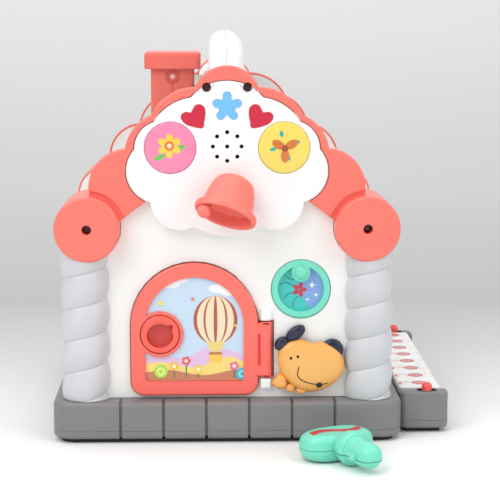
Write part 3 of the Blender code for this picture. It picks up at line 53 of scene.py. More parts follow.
class Wire:
    def __init__(self, tree, socket=None):
        self.tree = tree
        self.socket = socket

    def node(self, kind, settings, values, output=0):
        # Any node: its settings first, then what its sockets are given.
        made = self.tree.nodes.new("ShaderNode" + kind)
        for key, value in settings.items():
            if key == "stops":
                ramp = made.color_ramp
                while len(ramp.elements) < len(value):
                    ramp.elements.new(0.5)
                for element, (spot, colour) in zip(ramp.elements, value):
                    element.position = spot
                    element.color = colour
            else:
                setattr(made, key, value)
        for key, value in values.items():
            if isinstance(value, Wire):
                self.tree.links.new(value.socket, made.inputs[key])
            else:
                made.inputs[key].default_value = value
        return Wire(self.tree, made.outputs[output])

    def sum(self, operation, first, second=0.0, clamp=False):
        return self.node("Math", {"operation": operation, "use_clamp": clamp}, {0: first, 1: second})

    def __add__(self, other):
        return self.sum("ADD", self, other)

    def __radd__(self, other):
        return self.sum("ADD", other, self)

    def __sub__(self, other):
        return self.sum("SUBTRACT", self, other)

    def __rsub__(self, other):
        return self.sum("SUBTRACT", other, self)

    def __mul__(self, other):
        return self.sum("MULTIPLY", self, other)

    def __rmul__(self, other):
        return self.sum("MULTIPLY", other, self)

    def __truediv__(self, other):
        return self.sum("DIVIDE", self, other)

    def __pow__(self, other):
        return self.sum("POWER", self, other)

    def __abs__(self):
        return self.sum("ABSOLUTE", self)

    def __mod__(self, other):
        return self.sum("FLOORED_MODULO", self, other)

    def larger(self, other):
        return self.sum("MAXIMUM", self, other)

    def smaller(self, other):
        return self.sum("MINIMUM", self, other)

    def below(self, edge, soft):
        # 1 where the value is under the edge, 0 above it, with a soft change between.
        return self.node("MapRange", {"interpolation_type": "SMOOTHSTEP"}, {
            "Value": self, "From Min": edge - soft, "From Max": edge + soft, "To Min": 1.0, "To Max": 0.0})

    def mix(self, first, second):
        # The first colour where this is 0, the second where it is 1.
        return self.node("Mix", {"data_type": "RGBA"}, {0: self, 6: first, 7: second}, 2)

    def spot(self, axis):
        # One coordinate of a place, in millimetres.
        return self.node("SeparateXYZ", {}, {0: self}, axis) * 1000


def rgb(red, green, blue):
    # A screen colour from 0 to 255, as the linear colour that shaders use.
    share = np.array([red, green, blue]) / 255
    return (*np.where(share <= 0.04045, share / 12.92, ((share + 0.055) / 1.055) ** 2.4).tolist(), 1.0)


def makeMaterial(name, recipe):
    material = bpy.data.materials.new(name)
    material.use_nodes = True
    tree = material.node_tree
    shader = tree.nodes["Principled BSDF"]
    for socket, value in recipe(Wire(tree)).items():
        if isinstance(value, Wire):
            tree.links.new(value.socket, shader.inputs[socket])
        else:
            shader.inputs[socket].default_value = value
    return material


plastic = dict(roughness=0.36, coat=0.10, mottle=0.035, grain=0.05, grainScale=1500, scuff=0.10)


def moulded(colour, paint=None, **changes):
    # Moulded plastic: slow colour drift, a fine grain and patches that were handled smoother.
    p = {**plastic, **changes}

    def recipe(wire):
        place = wire.node("TexCoord", {}, {}, "Object")
        drift = wire.node("TexNoise", {}, {"Vector": place, "Scale": 22.0, "Detail": 3.0})
        worn = wire.node("TexNoise", {}, {"Vector": place, "Scale": 90.0, "Detail": 4.0, "Roughness": 0.6})
        grain = wire.node("TexNoise", {}, {"Vector": place, "Scale": float(p["grainScale"]), "Detail": 2.0})
        deep = tuple(c * (1 - 2 * p["mottle"]) for c in colour[:3]) + (1.0,)
        pale = tuple(min(1.0, c * (1 + p["mottle"])) for c in colour[:3]) + (1.0,)
        tone = drift.mix(deep, pale)
        if paint:
            tone = paint(place, tone)
        bump = wire.node("Bump", {}, {"Height": grain, "Strength": p["grain"], "Distance": 0.0002})
        sockets = {
            "Base Color": tone,
            "Roughness": (worn - 0.5) * p["scuff"] + p["roughness"],
            "Normal": bump,
            "Coat Weight": p["coat"],
            "Coat Roughness": 0.12,
        }
        sockets.update(p.get("sockets", {}))
        return sockets

    return recipe


coral = rgb(255, 127, 113)
boardCoral = rgb(255, 123, 109)
# A dark red for painted shade: the line in the gap between the rear board and the roof.
shadowLineRed = rgb(186, 74, 66)
mint = rgb(122, 231, 204)
grey = rgb(131, 129, 130)
eaveWhite = rgb(240, 238, 234)


def metal(colour, roughness):
    def recipe(wire):
        place = wire.node("TexCoord", {}, {}, "Object")
        streak = wire.node("TexNoise", {}, {"Vector": place, "Scale": 700.0, "Detail": 3.0})
        tone = streak.mix(tuple(c * 0.85 for c in colour[:3]) + (1.0,), colour)
        return {"Base Color": tone, "Metallic": 1.0, "Roughness": streak * 0.15 + roughness}

    return recipe


def painted(gloss=0.3):
    # Colours that a piece carries in its own attribute, as printed on film.
    def recipe(wire):
        place = wire.node("TexCoord", {}, {}, "Object")
        ink = wire.node("Attribute", {"attribute_name": "ink"}, {}, "Color")
        speck = wire.node("TexNoise", {}, {"Vector": place, "Scale": 1800.0, "Detail": 2.0})
        soft = wire.node("TexNoise", {}, {"Vector": place, "Scale": 60.0, "Detail": 2.0})
        tone = (speck * 0.07).mix(ink, (1.0, 1.0, 1.0, 1.0))
        return {"Base Color": tone, "Roughness": soft * 0.1 + gloss, "Coat Weight": 0.15}

    return recipe


finishes = {
    "coral": moulded(coral),
    "boardCoral": moulded(boardCoral),
    "shadowLineRed": moulded(shadowLineRed),
    "base": moulded(grey, roughness=0.46, coat=0.04),
    "post": moulded(rgb(212, 213, 217), roughness=0.42),
    "white": moulded(rgb(251, 254, 250), roughness=0.42),
    "cloud": moulded(rgb(252, 252, 252), roughness=0.38),
    "mint": moulded(mint, roughness=0.34),
    "navy": moulded(rgb(30, 30, 62), roughness=0.28),
    "dark": moulded(rgb(24, 20, 24), roughness=0.5),
    # The screws' dark maroon is partly their own dark colour and partly painted shade of the holes they sit
    # in.
    "screw": moulded(rgb(84, 26, 34), roughness=0.3),
    "knob": moulded(rgb(246, 88, 80), roughness=0.22, coat=0.3),
    "starBlue": moulded(rgb(118, 197, 255), roughness=0.2, coat=0.3),
    "heartRed": moulded(rgb(214, 32, 62), roughness=0.2, coat=0.3),
    "board": moulded(rgb(30, 96, 58), roughness=0.3),
    "cone": moulded(rgb(32, 32, 34), roughness=0.6),
    "steel": metal((0.6, 0.6, 0.62, 1.0), 0.2),
    "film": painted(),
}
madeMaterials = {}


def finish(name):
    if name not in madeMaterials:
        madeMaterials[name] = makeMaterial(name, finishes[name])
    return madeMaterials[name]


# Outlines: arrays of points across and up, in millimetres

def arcPoints(start, end, bulge, steps):
    # A circle's arc between two points, its middle the bulge to the left of the way; the end is left out.
    start, end = np.array(start, float), np.array(end, float)
    chord = end - start
    half = math.hypot(*chord) / 2
    radius = (half**2 + bulge**2) / (2 * bulge)
    side = np.array([-chord[1], chord[0]]) / (2 * half)
    centre = (start + end) / 2 + side * (bulge - radius)
    first = start - centre
    angle = -2 * math.asin(min(1, half / radius)) * np.arange(steps) / steps
    c, s = np.cos(angle), np.sin(angle)
    return centre + np.stack([first[0] * c - first[1] * s, first[0] * s + first[1] * c], 1)


def ringPoints(x, z, radius, count=72, start=0.0):
    angle = start + tau * np.arange(count) / count
    return np.stack([x + radius * np.cos(angle), z + radius * np.sin(angle)], 1)


def roundedPoints(x0, x1, z0, z1, corner, steps=8):
    # A rectangle with quarter circles at its corners.
    angle = (np.arange(4)[:, None] + np.linspace(0, 1, steps)[None]) * tau / 4
    left, right, low, high = x0 + corner, x1 - corner, z0 + corner, z1 - corner
    centres = np.array([(right, high), (left, high), (left, low), (right, low)])
    return (centres[:, None] + corner * np.stack([np.cos(angle), np.sin(angle)], -1)).reshape(-1, 2)


def archPoints(x, half, spring, foot, corner, steps=48):
    # A round top on straight sides, with rounded foot corners.
    top = np.linspace(0, math.pi, steps)
    head = np.stack([x + half * np.cos(top), spring + half * np.sin(top)], 1)
    box = roundedPoints(x - half, x + half, foot, spring, corner)
    return np.concatenate([head, box[len(box) // 2:]])


def curvePoints(points, steps, closed=True):
    # Catmull-Rom through the points: a cubic whose slope at each is half the way between its neighbours.
    points = np.array(points, float)
    if closed:
        p0, p1, p2, p3 = (np.roll(points, -k, 0)[:, None] for k in (-1, 0, 1, 2))
    else:
        longer = np.concatenate([2 * points[:1] - points[1:2], points, 2 * points[-1:] - points[-2:-1]])
        p0, p1, p2, p3 = (longer[k:len(longer) - 3 + k][:, None] for k in range(4))
    t = (np.arange(steps) / steps)[None, :, None]
    square, cube = p0 * 2 - p1 * 5 + p2 * 4 - p3, p1 * 3 - p0 - p2 * 3 + p3
    line = p1 * 2 + (p2 - p0) * t + square * t**2 + cube * t**3
    line = (line / 2).reshape(-1, points.shape[1])
    return line if closed else np.concatenate([line, points[-1:]])


def leftTurning(points):
    # The outline in the way that keeps its inside on the left.
    ahead = np.roll(points, -1, 0)
    area = (points[:, 0] * ahead[:, 1] - ahead[:, 0] * points[:, 1]).sum()
    return points if area > 0 else points[::-1]


def inset(points, amount):
    # Each point moved inward along the mean of its two sides' normals; a minus amount grows the outline.
    ahead = np.roll(points, -1, 0) - points
    ahead /= np.maximum(np.linalg.norm(ahead, axis=1, keepdims=True), 1e-9)
    behind = np.roll(ahead, 1, 0)
    normal = np.stack([-(ahead + behind)[:, 1], (ahead + behind)[:, 0]], 1)
    lean = np.maximum(1 + (ahead * behind).sum(1), 0.45)
    return points + normal / lean[:, None] * np.broadcast_to(amount, len(points))[:, None]


def mirrored(right):
    # The right half, from the middle line outward, made whole.
    return leftTurning(np.concatenate([right, (right * [-1, 1])[::-1][right[::-1, 0] > 0.01]]))


def sized(shares, size):
    half, foot, rise = size["half"], size["foot"], size["peak"] - size["foot"]
    return [(x * half, foot + z * rise, *(bulge * half for bulge in rest)) for x, z, *rest in shares]


def scallopLine(valleys, first, steps):
    # Arcs from the first valley out to the last.
    rows = [arcPoints(a[:2], b[:2], b[2], steps) for a, b in zip([first] + valleys[:-1], valleys)]
    return np.concatenate(rows + [np.array([valleys[-1][:2]])])


def topHalf(size, crown, scallops, steps):
    x, z, bulge = sized([crown], size)[0]
    top = arcPoints((-x, z), (x, z), bulge, 2 * steps)[steps:]
    return np.concatenate([top, scallopLine(sized(scallops, size), (x, z), steps)])


def bite(points, centre, radius, steps=30):
    # What is left of a left-turning outline outside a circle: the part inside gives way to the circle's arc.
    centre = np.array(centre, float)
    inside = np.hypot(*(points - centre).T) < radius
    if not inside.any():
        return points
    last = int(np.argmax(inside & ~np.roll(inside, -1)))
    points, inside = np.roll(points, -last - 1, 0), np.roll(inside, -last - 1)
    kept = int(np.argmax(inside))

    def crossing(outer, inner):
        way, off = inner - outer, outer - centre
        a, b, c = way @ way, 2 * way @ off, off @ off - radius**2
        return outer + way * (-b - math.sqrt(b * b - 4 * a * c)) / (2 * a)

    enter, leave = crossing(points[kept - 1], points[kept]), crossing(points[0], points[-1])
    first, second = (math.atan2(*(p - centre)[::-1]) for p in (enter, leave))
    angle = first - ((first - second) % tau) * np.linspace(0, 1, steps)
    arc = centre + radius * np.stack([np.cos(angle), np.sin(angle)], 1)
    return np.concatenate([points[:kept], arc])


def softened(corners, steps=6):
    # A line through corners (across, level, radius), each rounded by its radius.
    spots = np.array([corner[:2] for corner in corners], float)
    made = [spots[:1]]
    for k in range(1, len(spots) - 1):
        radius = corners[k][2] if len(corners[k]) > 2 else 0
        a, b = spots[k - 1] - spots[k], spots[k + 1] - spots[k]
        a, b = a / np.linalg.norm(a), b / np.linalg.norm(b)
        half = math.acos(np.clip(a @ b, -1, 1)) / 2
        if not radius or half > 1.55:
            made.append(spots[k:k + 1])
            continue
        centre = spots[k] + (a + b) / np.linalg.norm(a + b) * radius / math.sin(half)
        u, v = (spots[k] + way * radius / math.tan(half) - centre for way in (a, b))
        turn, t = math.pi - 2 * half, np.linspace(0, 1, steps)[:, None]
        made.append(centre + (np.sin((1 - t) * turn) * u + np.sin(t * turn) * v) / math.sin(turn))
    return np.concatenate(made + [spots[-1:]])


# Forms: grids and flat caps gathered into one mesh

class Form:
    def __init__(self):
        self.parts = []
        self.faces = []
        self.inks = []
        self.count = 0

    def spots(self, points):
        first = self.count
        self.parts.append(np.asarray(points, float))
        self.count += len(points)
        return first + np.arange(len(points))

    def give(self, faces, ink):
        self.faces += faces
        self.inks += [ink] * len(faces)

    def grid(self, rows, closed=True, ink=None):
        # Four-sided faces between neighbouring rows; a closed row joins its ends.
        high, wide = rows.shape[:2]
        index = self.spots(rows.reshape(-1, 3)).reshape(high, wide)
        after = np.roll(index, -1, 1)
        faces = np.stack([index[:-1], after[:-1], after[1:], index[1:]], -1)
        if not closed:
            faces = faces[:, :-1]
        self.give(faces.reshape(-1, 4).tolist(), ink)
        return index

    def cap(self, loops, ink=None):
        # A flat face inside the first loop and outside the others; each loop is its indices and flat points.
        every = np.concatenate([index for index, _ in loops])
        lines = [list(map(Vector, np.pad(flat, ((0, 0), (0, 1))).tolist())) for _, flat in loops]
        self.give(every[np.array(tessellate_polygon(lines))].tolist(), ink)

    def capEnds(self, index, axes):
        # Flat faces inside the first and the last ring, laid out along two axes.
        flat = self.points()[:, axes]
        for ring in (index[0], index[-1]):
            self.cap([(ring, flat[ring])])

    def take(self, points, faces):
        # Another form's points, moved or not, and its faces.
        first = self.count
        self.spots(points)
        self.give([[corner + first for corner in face] for face in faces], None)

    def points(self):
        return np.concatenate(self.parts)


def placed(flat, level, axis):
    # Flat points at a level along an axis.
    level = np.broadcast_to(level, len(flat))
    a, b = flat[:, 0], flat[:, 1]
    return np.stack({"Y": (a, level, b), "Z": (a, b, level), "X": (level, a, b)}[axis], 1)


crisp = 0.12  # a narrow flat step inside each rounded edge, which keeps the shading of the face even


def plateForm(form, outer, near, far, rim=0.0, backRim=0.0, holes=(), pocket=None, axis="Y", steps=6,
              ink=None):
    # A plate between two levels. Its edge is a quarter circle of the rim at the near side and of backRim at
    # the far. A hole goes through, or to its depth; a pocket is (outline, level) sunk from the far side.
    outer = leftTurning(outer)
    quarter = np.linspace(0, tau / 4, steps)
    count = len(outer)
    rims, backs = np.broadcast_to(rim, count), np.broadcast_to(backRim, count)
    rows, flats = [], []

    def row(amount, level):
        flat = inset(outer, amount)
        flats.append(flat)
        rows.append(placed(flat, level, axis))

    row(rims + crisp, near)
    for t in quarter:
        row(rims * (1 - math.sin(t)), near + rims * (1 - math.cos(t)))
    for t in quarter[::-1]:
        row(backs * (1 - math.sin(t)), far - backs * (1 - math.cos(t)))
    row(backs + crisp, far)
    index = form.grid(np.stack(rows), ink=ink)
    floor = pocket[1] if pocket else far
    nearLoops, floorLoops = [(index[0], flats[0])], []
    for hole in holes:
        line, edge, depth = leftTurning(hole["line"]), hole.get("rim", 0.0), hole.get("depth")
        wide = inset(line, -edge - crisp)
        wall = [placed(wide, near, axis)]
        for t in quarter:
            wall.append(placed(inset(line, -edge * (1 - math.sin(t))), near + edge * (1 - math.cos(t)), axis))
        end = near + depth if depth else floor
        wall.append(placed(line, end, axis))
        rings = form.grid(np.stack(wall), ink=ink)
        nearLoops.append((rings[0], wide))
        if depth:
            form.cap([(rings[-1], line)], ink=ink)
        else:
            floorLoops.append((rings[-1], line))
    form.cap(nearLoops, ink=ink)
    if pocket:
        line = leftTurning(pocket[0])
        rings = form.grid(np.stack([placed(line, far, axis), placed(line, floor, axis)]), ink=ink)
        form.cap([(index[-1], flats[-1]), (rings[0], line)], ink=ink)
        form.cap([(rings[1], line)] + floorLoops, ink=ink)
    else:
        form.cap([(index[-1], flats[-1])] + floorLoops, ink=ink)
    return form


def turnRows(profile, a, b, axis="Y", count=96):
    # A profile of (radius, level) carried round an axis.
    profile = np.asarray(profile, float)
    angle = tau * np.arange(count) / count
    radius, level = profile[:, :1], profile[:, 1:2] * np.ones(count)
    across, up = a + radius * np.cos(angle), b + radius * np.sin(angle)
    return np.stack({"Y": (across, level, up), "Z": (across, up, level), "X": (level, across, up)}[axis], -1)


def turnForm(form, profile, a, b, axis="Y", count=96, ink=None):
    form.grid(turnRows(profile, a, b, axis, count), ink=ink)
    return form


def makePiece(name, form, look, body, nodes=(), sharp=38):
    # The mesh in metres, closed, with its normals outward and its sharp edges marked.
    mesh = bpy.data.meshes.new(name)
    mesh.from_pydata((form.points() / 1000).tolist(), [], form.faces)
    mesh.update()
    if form.inks[0] is not None:
        layer = mesh.attributes.new("ink", "FLOAT_COLOR", "CORNER")
        sides = np.array([len(face) for face in form.faces])
        colours = np.array(form.inks, float)
        layer.data.foreach_set("color", np.repeat(colours, sides, 0).ravel())
    work = bmesh.new()
    work.from_mesh(mesh)
    bmesh.ops.remove_doubles(work, verts=work.verts, dist=1e-6)
    bmesh.ops.recalc_face_normals(work, faces=work.faces)
    work.to_mesh(mesh)
    work.free()
    mesh.shade_smooth()
    mesh.set_sharp_from_angle(angle=math.radians(sharp))
    mesh.materials.append(finish(look))
    piece = bpy.data.objects.new(name, mesh)
    bpy.context.scene.collection.objects.link(piece)
    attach(piece, body)
    if nodes:
        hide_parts(*nodes)
    return piece


# Plinth

plinth = dict(
    half=131, deep=142, top=28.1, parting=6.1, seam=0.3, corner=16, cornerSteps=12, rim=3.8, under=3,
    pitch=32, count=6, width=2.3, depth=2.3,
    fades=((0.8, 1), (8.0, 1), (10.5, 0.6), (11.5, 0)),  # how far inside the rim, and a groove's share there
    foot=3.3, footInset=6, footWide=2.8, footIn=0.2,
    bay=(-100.3, -31.7, 9.7, 70.3), bayCorner=4, bayDeep=2.4,
    lipBelow=0.8, lipAbove=1.1, lipInset=0.3,
)


def plinthRows(low, high, lowRim, highRim, inward=0):
    # Rings round the plan from the bottom up. At each brick a groove pushes the front side in, square to
    # the surface.
    p = plinth
    xs = (np.arange(p["count"]) - (p["count"] - 1) / 2) * p["pitch"]
    fine = (xs[:, None] + np.linspace(-1, 1, 13)[None] * p["width"]).ravel()
    frontSide = np.stack([fine, np.full(len(fine), -p["deep"])], 1)
    rest = roundedPoints(-p["half"], p["half"], -p["deep"], p["deep"], p["corner"], p["cornerSteps"])
    turn = 3 * p["cornerSteps"]  # where the plan comes to the front side
    plan = np.concatenate([rest[:turn], frontSide, rest[turn:]])
    off = np.abs(plan[:, None, 0] - xs[None]).min(1)
    share = np.clip(1 - off / (p["width"] / 2), 0, 1)
    groove = np.where(plan[:, 1] < -p["deep"] + 0.01, p["depth"] * np.minimum(1, share * 2.4), 0)
    rows = []
    quarter = [(math.sin(t), math.cos(t)) for t in np.linspace(0, tau / 4, 8)]
    if lowRim:
        rows += [(lowRim * (1 - s), low + lowRim * (1 - c), s, c, 1) for s, c in quarter]
    else:
        rows.append((0, low, 1, 0, 1))
    if highRim:
        rows += [(highRim * (1 - s), high - highRim * (1 - c), s, -c, 1) for s, c in quarter[::-1]]
        rows += [(highRim + more, high, 0, -1, keep) for more, keep in p["fades"]]
    else:
        rows.append((0, high, 1, 0, 1))
    rings = []
    for amount, level, out, down, keep in rows:
        flat = inset(plan, amount + inward)
        flat = flat + np.stack([np.zeros(len(plan)), groove * keep * out], 1)
        rings.append(placed(flat, level + groove * keep * down, "Z"))
    return np.stack(rings)


def wallRows(outer, inner, start, end):
    # A closed wall between two plans, from one level to another and back.
    corners = ((outer, start), (outer, end), (inner, end), (inner, start), (outer, start))
    return np.stack([placed(line, level, "Z") for line, level in corners])


def makePlinth():
    p = plinth
    form = Form()
    form.capEnds(form.grid(plinthRows(p["parting"] + p["seam"], p["top"], 0, p["rim"])), [0, 1])
    makePiece("plinth", form, "base", "house", ["base_upper"])
    form = Form()
    index = form.grid(plinthRows(0, p["parting"], p["under"], 0))
    flat = form.points()[:, :2]
    form.cap([(index[-1], flat[index[-1]])])
    bay = roundedPoints(*p["bay"], p["bayCorner"])
    wall = form.grid(np.stack([placed(bay, 0, "Z"), placed(bay, p["bayDeep"], "Z")]))
    form.cap([(index[0], flat[index[0]]), (wall[0], bay)])
    form.cap([(wall[1], bay)])
    # The rim that the cover stands on.
    plan = roundedPoints(-p["half"], p["half"], -p["deep"], p["deep"], p["corner"])
    outer, inner = inset(plan, p["footInset"]), inset(plan, p["footInset"] + p["footWide"])
    form.grid(wallRows(outer, inner, p["footIn"], -p["foot"]))
    makePiece("plinthCover", form, "shadedFoot", "house", ["base_cover"])
    # A lip behind the parting line.
    form = Form()
    rows = plinthRows(p["parting"] - p["lipBelow"], p["parting"] + p["lipAbove"], 0, 0, p["lipInset"])
    form.capEnds(form.grid(rows), [0, 1])
    makePiece("plinthLip", form, "base", "house", [])


def footShadeInk(place, tone):
    # Painted shade: the rim that the covers stand on is painted nearly black, as the shadow under the plinth.
    return place.spot(2).below(-0.1, 0.05).mix(tone, rgb(22, 20, 22))


finishes["shadedFoot"] = moulded(grey, paint=footShadeInk, roughness=0.46, coat=0.04)


# Keyboard wing

wing = dict(left=131.3, right=169.2, front=-116, back=120, block=12.5, rearBlock=15.5, under=6.4, tray=16.5,
            blockTop=29, corner=6, rim=2.6, trayRim=0.8)
piano = dict(count=8, left=132.8, right=164.5, under=20.5, top=30.0, rim=1.7, corner=2.4, start=-103.5,
             pitch=26, play=0.35, axleX=137.2, axleZ=24.3, hub=2.8, hubPlay=0.2)
slideKnob = dict(x=153.0, radius=4.1, top=35.2, swell=4.0, seatLong=7.5, seatWide=4.6, seatDeep=1.0)
note = dict(head=149.8, radius=6.2, bars=2.6, stem=139.2, stemHalf=5.2, stemFoot=143.6, flag=134.0,
            slant=0.12)


def seatShadeInk(place, tone):
    # Painted shade: the shallow seats under the knobs are painted near black, the shade of the dark inside.
    s, y = slideKnob, place.spot(1)
    front, rear = y - (wing["front"] + wing["block"] / 2), y - (wing["back"] - wing["rearBlock"] / 2)
    near = abs(front).smaller(abs(rear)).below(s["seatWide"] + 0.2, 0.05)
    near = near * abs(place.spot(0) - s["x"]).below(s["seatLong"] + 0.3, 0.05)
    return (near * place.spot(2).below(wing["blockTop"] - 0.25, 0.1)).mix(tone, rgb(14, 12, 12))


finishes["wingShadedSeats"] = moulded(grey, paint=seatShadeInk, roughness=0.46, coat=0.04)


def makeWing():
    w, k, p = wing, slideKnob, plinth
    plan = roundedPoints(w["left"], w["right"], w["front"], w["back"], w["corner"])
    form = plateForm(Form(), plan, w["under"], w["tray"], axis="Z", backRim=w["trayRim"])
    blocks = (("front", w["front"], w["front"] + w["block"]), ("rear", w["back"] - w["rearBlock"], w["back"]))
    for name, near, far in blocks:
        middle = (near + far) / 2
        seat = roundedPoints(k["x"] - k["seatLong"], k["x"] + k["seatLong"], middle - k["seatWide"],
                             middle + k["seatWide"], k["seatWide"] * 0.99, 10)
        block = roundedPoints(w["left"], w["right"], near, far, w["corner"] * 0.99, 10)
        # The corners beside the keys are only a quarter as deep.
        inner = float(far if name == "front" else near)
        off = np.abs(block[:, 1] - inner)
        squarer = inner - np.sign(inner - middle) * np.minimum(off, w["corner"]) * 0.25
        block[:, 1] = np.where(off < w["corner"], squarer, block[:, 1])
        # The block is made upside down, because a hole with a depth starts from the near side.
        turned = plateForm(Form(), block, -w["blockTop"], -w["tray"] + 0.5, rim=w["rim"], axis="Z", steps=8,
                           holes=[dict(line=seat, depth=k["seatDeep"], rim=0.4)])
        form.take(turned.points() * [1, 1, -1], turned.faces)
        r, swell = k["radius"], k["swell"]
        foot = w["blockTop"] - k["seatDeep"] + 0.05
        dome = softened([(0, foot), (r, foot), (r, k["top"] - swell, 1.0)], 4)[:-1]
        t = np.linspace(0, tau / 4, 10)
        dome = np.concatenate([dome, np.stack([r * np.cos(t), k["top"] - swell + swell * np.sin(t)], 1)])
        knob = turnForm(Form(), dome, k["x"], middle, "Z", 48)
        makePiece(f"slideKnob_{name}", knob, "knob", f"{name}_switch", [f"switch_knob_{name}"])
    makePiece("wingHousing", form, "wingShadedSeats", "house", ["wing_housing"])
    lip = inset(leftTurning(plan), p["lipInset"])
    form = plateForm(Form(), lip, p["parting"] - p["lipBelow"], p["parting"] + p["lipAbove"], axis="Z")
    makePiece("wingLip", form, "base", "house", [])


def noteInk(place, tone):
    # A red note on each key: a round head with pale bars in it, a stem toward the house and a small flag.
    p, n, x = piano, note, place.spot(0)
    across = (place.spot(1) - p["start"]) % p["pitch"] - p["pitch"] / 2
    away = x - n["head"]
    head = ((away * away + across * across) ** 0.5).below(n["radius"], 0.25)
    bars = abs((away + n["bars"]) % n["bars"] - n["bars"] / 2).below(0.75, 0.25)
    bars = bars * abs(across).below(1.6, 0.4) * abs(away).below(3.9, 0.1)
    stem = abs(across - 1.2 - (n["stemFoot"] - x) * n["slant"]).below(0.95, 0.3)
    stem = stem * abs(x - n["stem"]).below(n["stemHalf"], 0.2)
    flag = abs(x - n["flag"] + (across - 1.5) * n["slant"]).below(1.45, 0.3)
    flag = flag * abs(across + 1.2).below(3.8, 0.5)
    ink = (head * (1 - bars * 0.6)).larger(stem * 0.8).larger(flag)
    return (ink * (1 - place.spot(2).below(p["top"] - 0.25, 0.05))).mix(tone, rgb(212, 66, 70))


finishes["pianoKey"] = moulded(rgb(252, 251, 250), paint=noteInk, roughness=0.28, coat=0.25)


def makePianoKeys():
    p = piano
    hub = ringPoints(p["axleX"], p["axleZ"], p["hub"], 24)
    for k in range(p["count"]):
        near, far = p["start"] + k * p["pitch"] + p["play"], p["start"] + (k + 1) * p["pitch"] - p["play"]
        top = roundedPoints(p["left"], p["right"], near, far, p["corner"])
        form = plateForm(Form(), top, p["under"], p["top"], rim=0.5, backRim=p["rim"], axis="Z", steps=7)
        rows = [placed(hub, y, "Y") for y in (near + p["hubPlay"], far - p["hubPlay"])]
        form.capEnds(form.grid(np.stack(rows)), [0, 2])
        makePiece(f"pianoKey_{k + 1}", form, "pianoKey", f"key_{k + 1}", [f"piano_key_{k + 1}"])


# Posts

post = dict(x=106.1, y=122.5, valley=15.8, bulge=2.6, lead=24, low=28.4, top=152, lift=6.05, sunk=1.5,
            phases=40, around=96)
wallEdge = dict(x0=87.6, x1=95.0, near=-125.97, far=-123.0)
postNodes = {}
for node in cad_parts:
    if node.startswith("pillar"):
        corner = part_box(node)[0]
        postNodes[f"{'front' if corner.y < 0 else 'rear'}_{'left' if corner.x < 0 else 'right'}"] = node


def makePosts():
    # Radius = valley + bulge * sin(pi * phase) ^ 0.6, where the phase climbs by one over each lead and turn.
    # Each column of points starts in the thread's valley, so the valley stays sharp.
    p, e = post, wallEdge
    share = np.arange(p["around"]) / p["around"]
    turns = int((p["top"] - p["low"]) / p["lead"]) + 2
    phase = (1 - np.cos(np.linspace(0, math.pi, p["phases"] + 1)[:-1])) / 2
    start = p["low"] + p["lift"]
    climb = (np.arange(-2, turns)[:, None] + phase[None]).ravel()
    z = np.clip(start + p["lead"] * (climb[:, None] + share[None]), p["low"] - p["sunk"], p["top"])
    at = ((z - start) / p["lead"] - share[None]) % 1
    radius = p["valley"] + p["bulge"] * np.sin(np.pi * at) ** 0.6
    angle = tau * share[None] * np.ones_like(z)
    ends = (("front", -p["y"]), ("rear", p["y"]))
    for name, side, y in [(f"{end}_{name}", side, y) for end, y in ends for name, side in sides]:
        across, deep = side * p["x"] + radius * np.cos(angle), y + radius * np.sin(angle)
        # The foot follows the rounded edge of the plinth.
        over = np.clip(np.abs(deep) - plinth["deep"] + plinth["rim"], 0, plinth["rim"])
        floor = p["low"] - plinth["rim"] - 0.3 + np.sqrt((plinth["rim"] + 0.3) ** 2 - over**2)
        rows = np.stack([across, deep, np.maximum(z, floor)], -1)
        form = Form()
        # The last column joins the first one turn further up.
        high, wide = rows.shape[:2]
        index = form.spots(rows.reshape(-1, 3)).reshape(high, wide)
        beside = np.concatenate([index[:, 1:], np.roll(index[:, :1], -p["phases"], 0)], 1)
        faces = np.stack([index[:-1], beside[:-1], beside[1:], index[1:]], -1)
        joined = np.ones(faces.shape[:2], bool)
        joined[high - 1 - p["phases"]:, -1] = False
        form.give(faces[joined].tolist(), None)
        form.capEnds(index, [0, 1])
        makePiece(f"post_{name}", form, "post", "house", [postNodes[name]])
    # The wall runs on into each post, so that the post's own edge shows against it.
    strip = np.array([(e["x0"], p["low"]), (e["x1"], p["low"]), (e["x1"], p["top"]), (e["x0"], p["top"])])
    for name, end in (("front", 1), ("rear", -1)):
        form = Form()
        levels = sorted((end * e["near"], end * e["far"]))
        for side in (-1, 1):
            plateForm(form, leftTurning(strip * [side, 1]), *levels)
        makePiece(f"wallEdge_{name}", form, "white", "house", [])


# Gables, roof and handle

gable = dict(half=102.2, foot=158.0, peak=277.3, near=-133.0, far=-126.3, rim=1.8, groove=2.5)
gableShares = dict(
    crown=(0.228, 0.868, 0.155),
    scallops=((0.543, 0.698, 0.055), (0.734, 0.492, 0.041), (1.0, 0.243, 0.079)),
    eave=(1.239, -0.050, 0.057),
    foot=((0.978, 0.0), (0.773, 0.042), (0.753, 0.058), (0.622, 0.143), (0.489, 0.226)),
)
roll = dict(x=103.4, z=157.8, radius=24.2, deep=55, rim=2.2, groove=27.8, hole=3.5, holeDeep=10)
cloud = dict(half=68.3, foot=151.5, middle=215, peak=266.4, near=-133.7, far=-126.3, wall=1.7, face=2.6,
             rim=2.0, gap=0.5)
cloudShares = dict(
    crown=(0.390, 0.894, 0.179),
    scallops=((0.791, 0.738, 0.054), (1.0, 0.564, 0.059), (0.833, 0.220, 0.168), (0.366, 0.056, 0.149)),
    foot=0.094,
)
topScrew = dict(x=15.0, z=261.5, hole=3.5, head=3.1, thick=2.2, rim=0.9, slot=0.75, slotReach=0.68,
                slotDeep=1.0)
# Name, look, inset and thickness.
rearLayers = (("edgeShadowLine", "shadowLineRed", 1.3, 0.15), ("shadedLining", "shadedLining", 1.8, 0.4))


def cloudHalf(steps=24):
    edge = topHalf(cloud, cloudShares["crown"], cloudShares["scallops"], steps)
    x, z = edge[-1]
    low = arcPoints((x, z), (-x, z), cloudShares["foot"] * cloud["half"], 2 * steps)[1:steps + 1]
    return np.concatenate([edge, low])


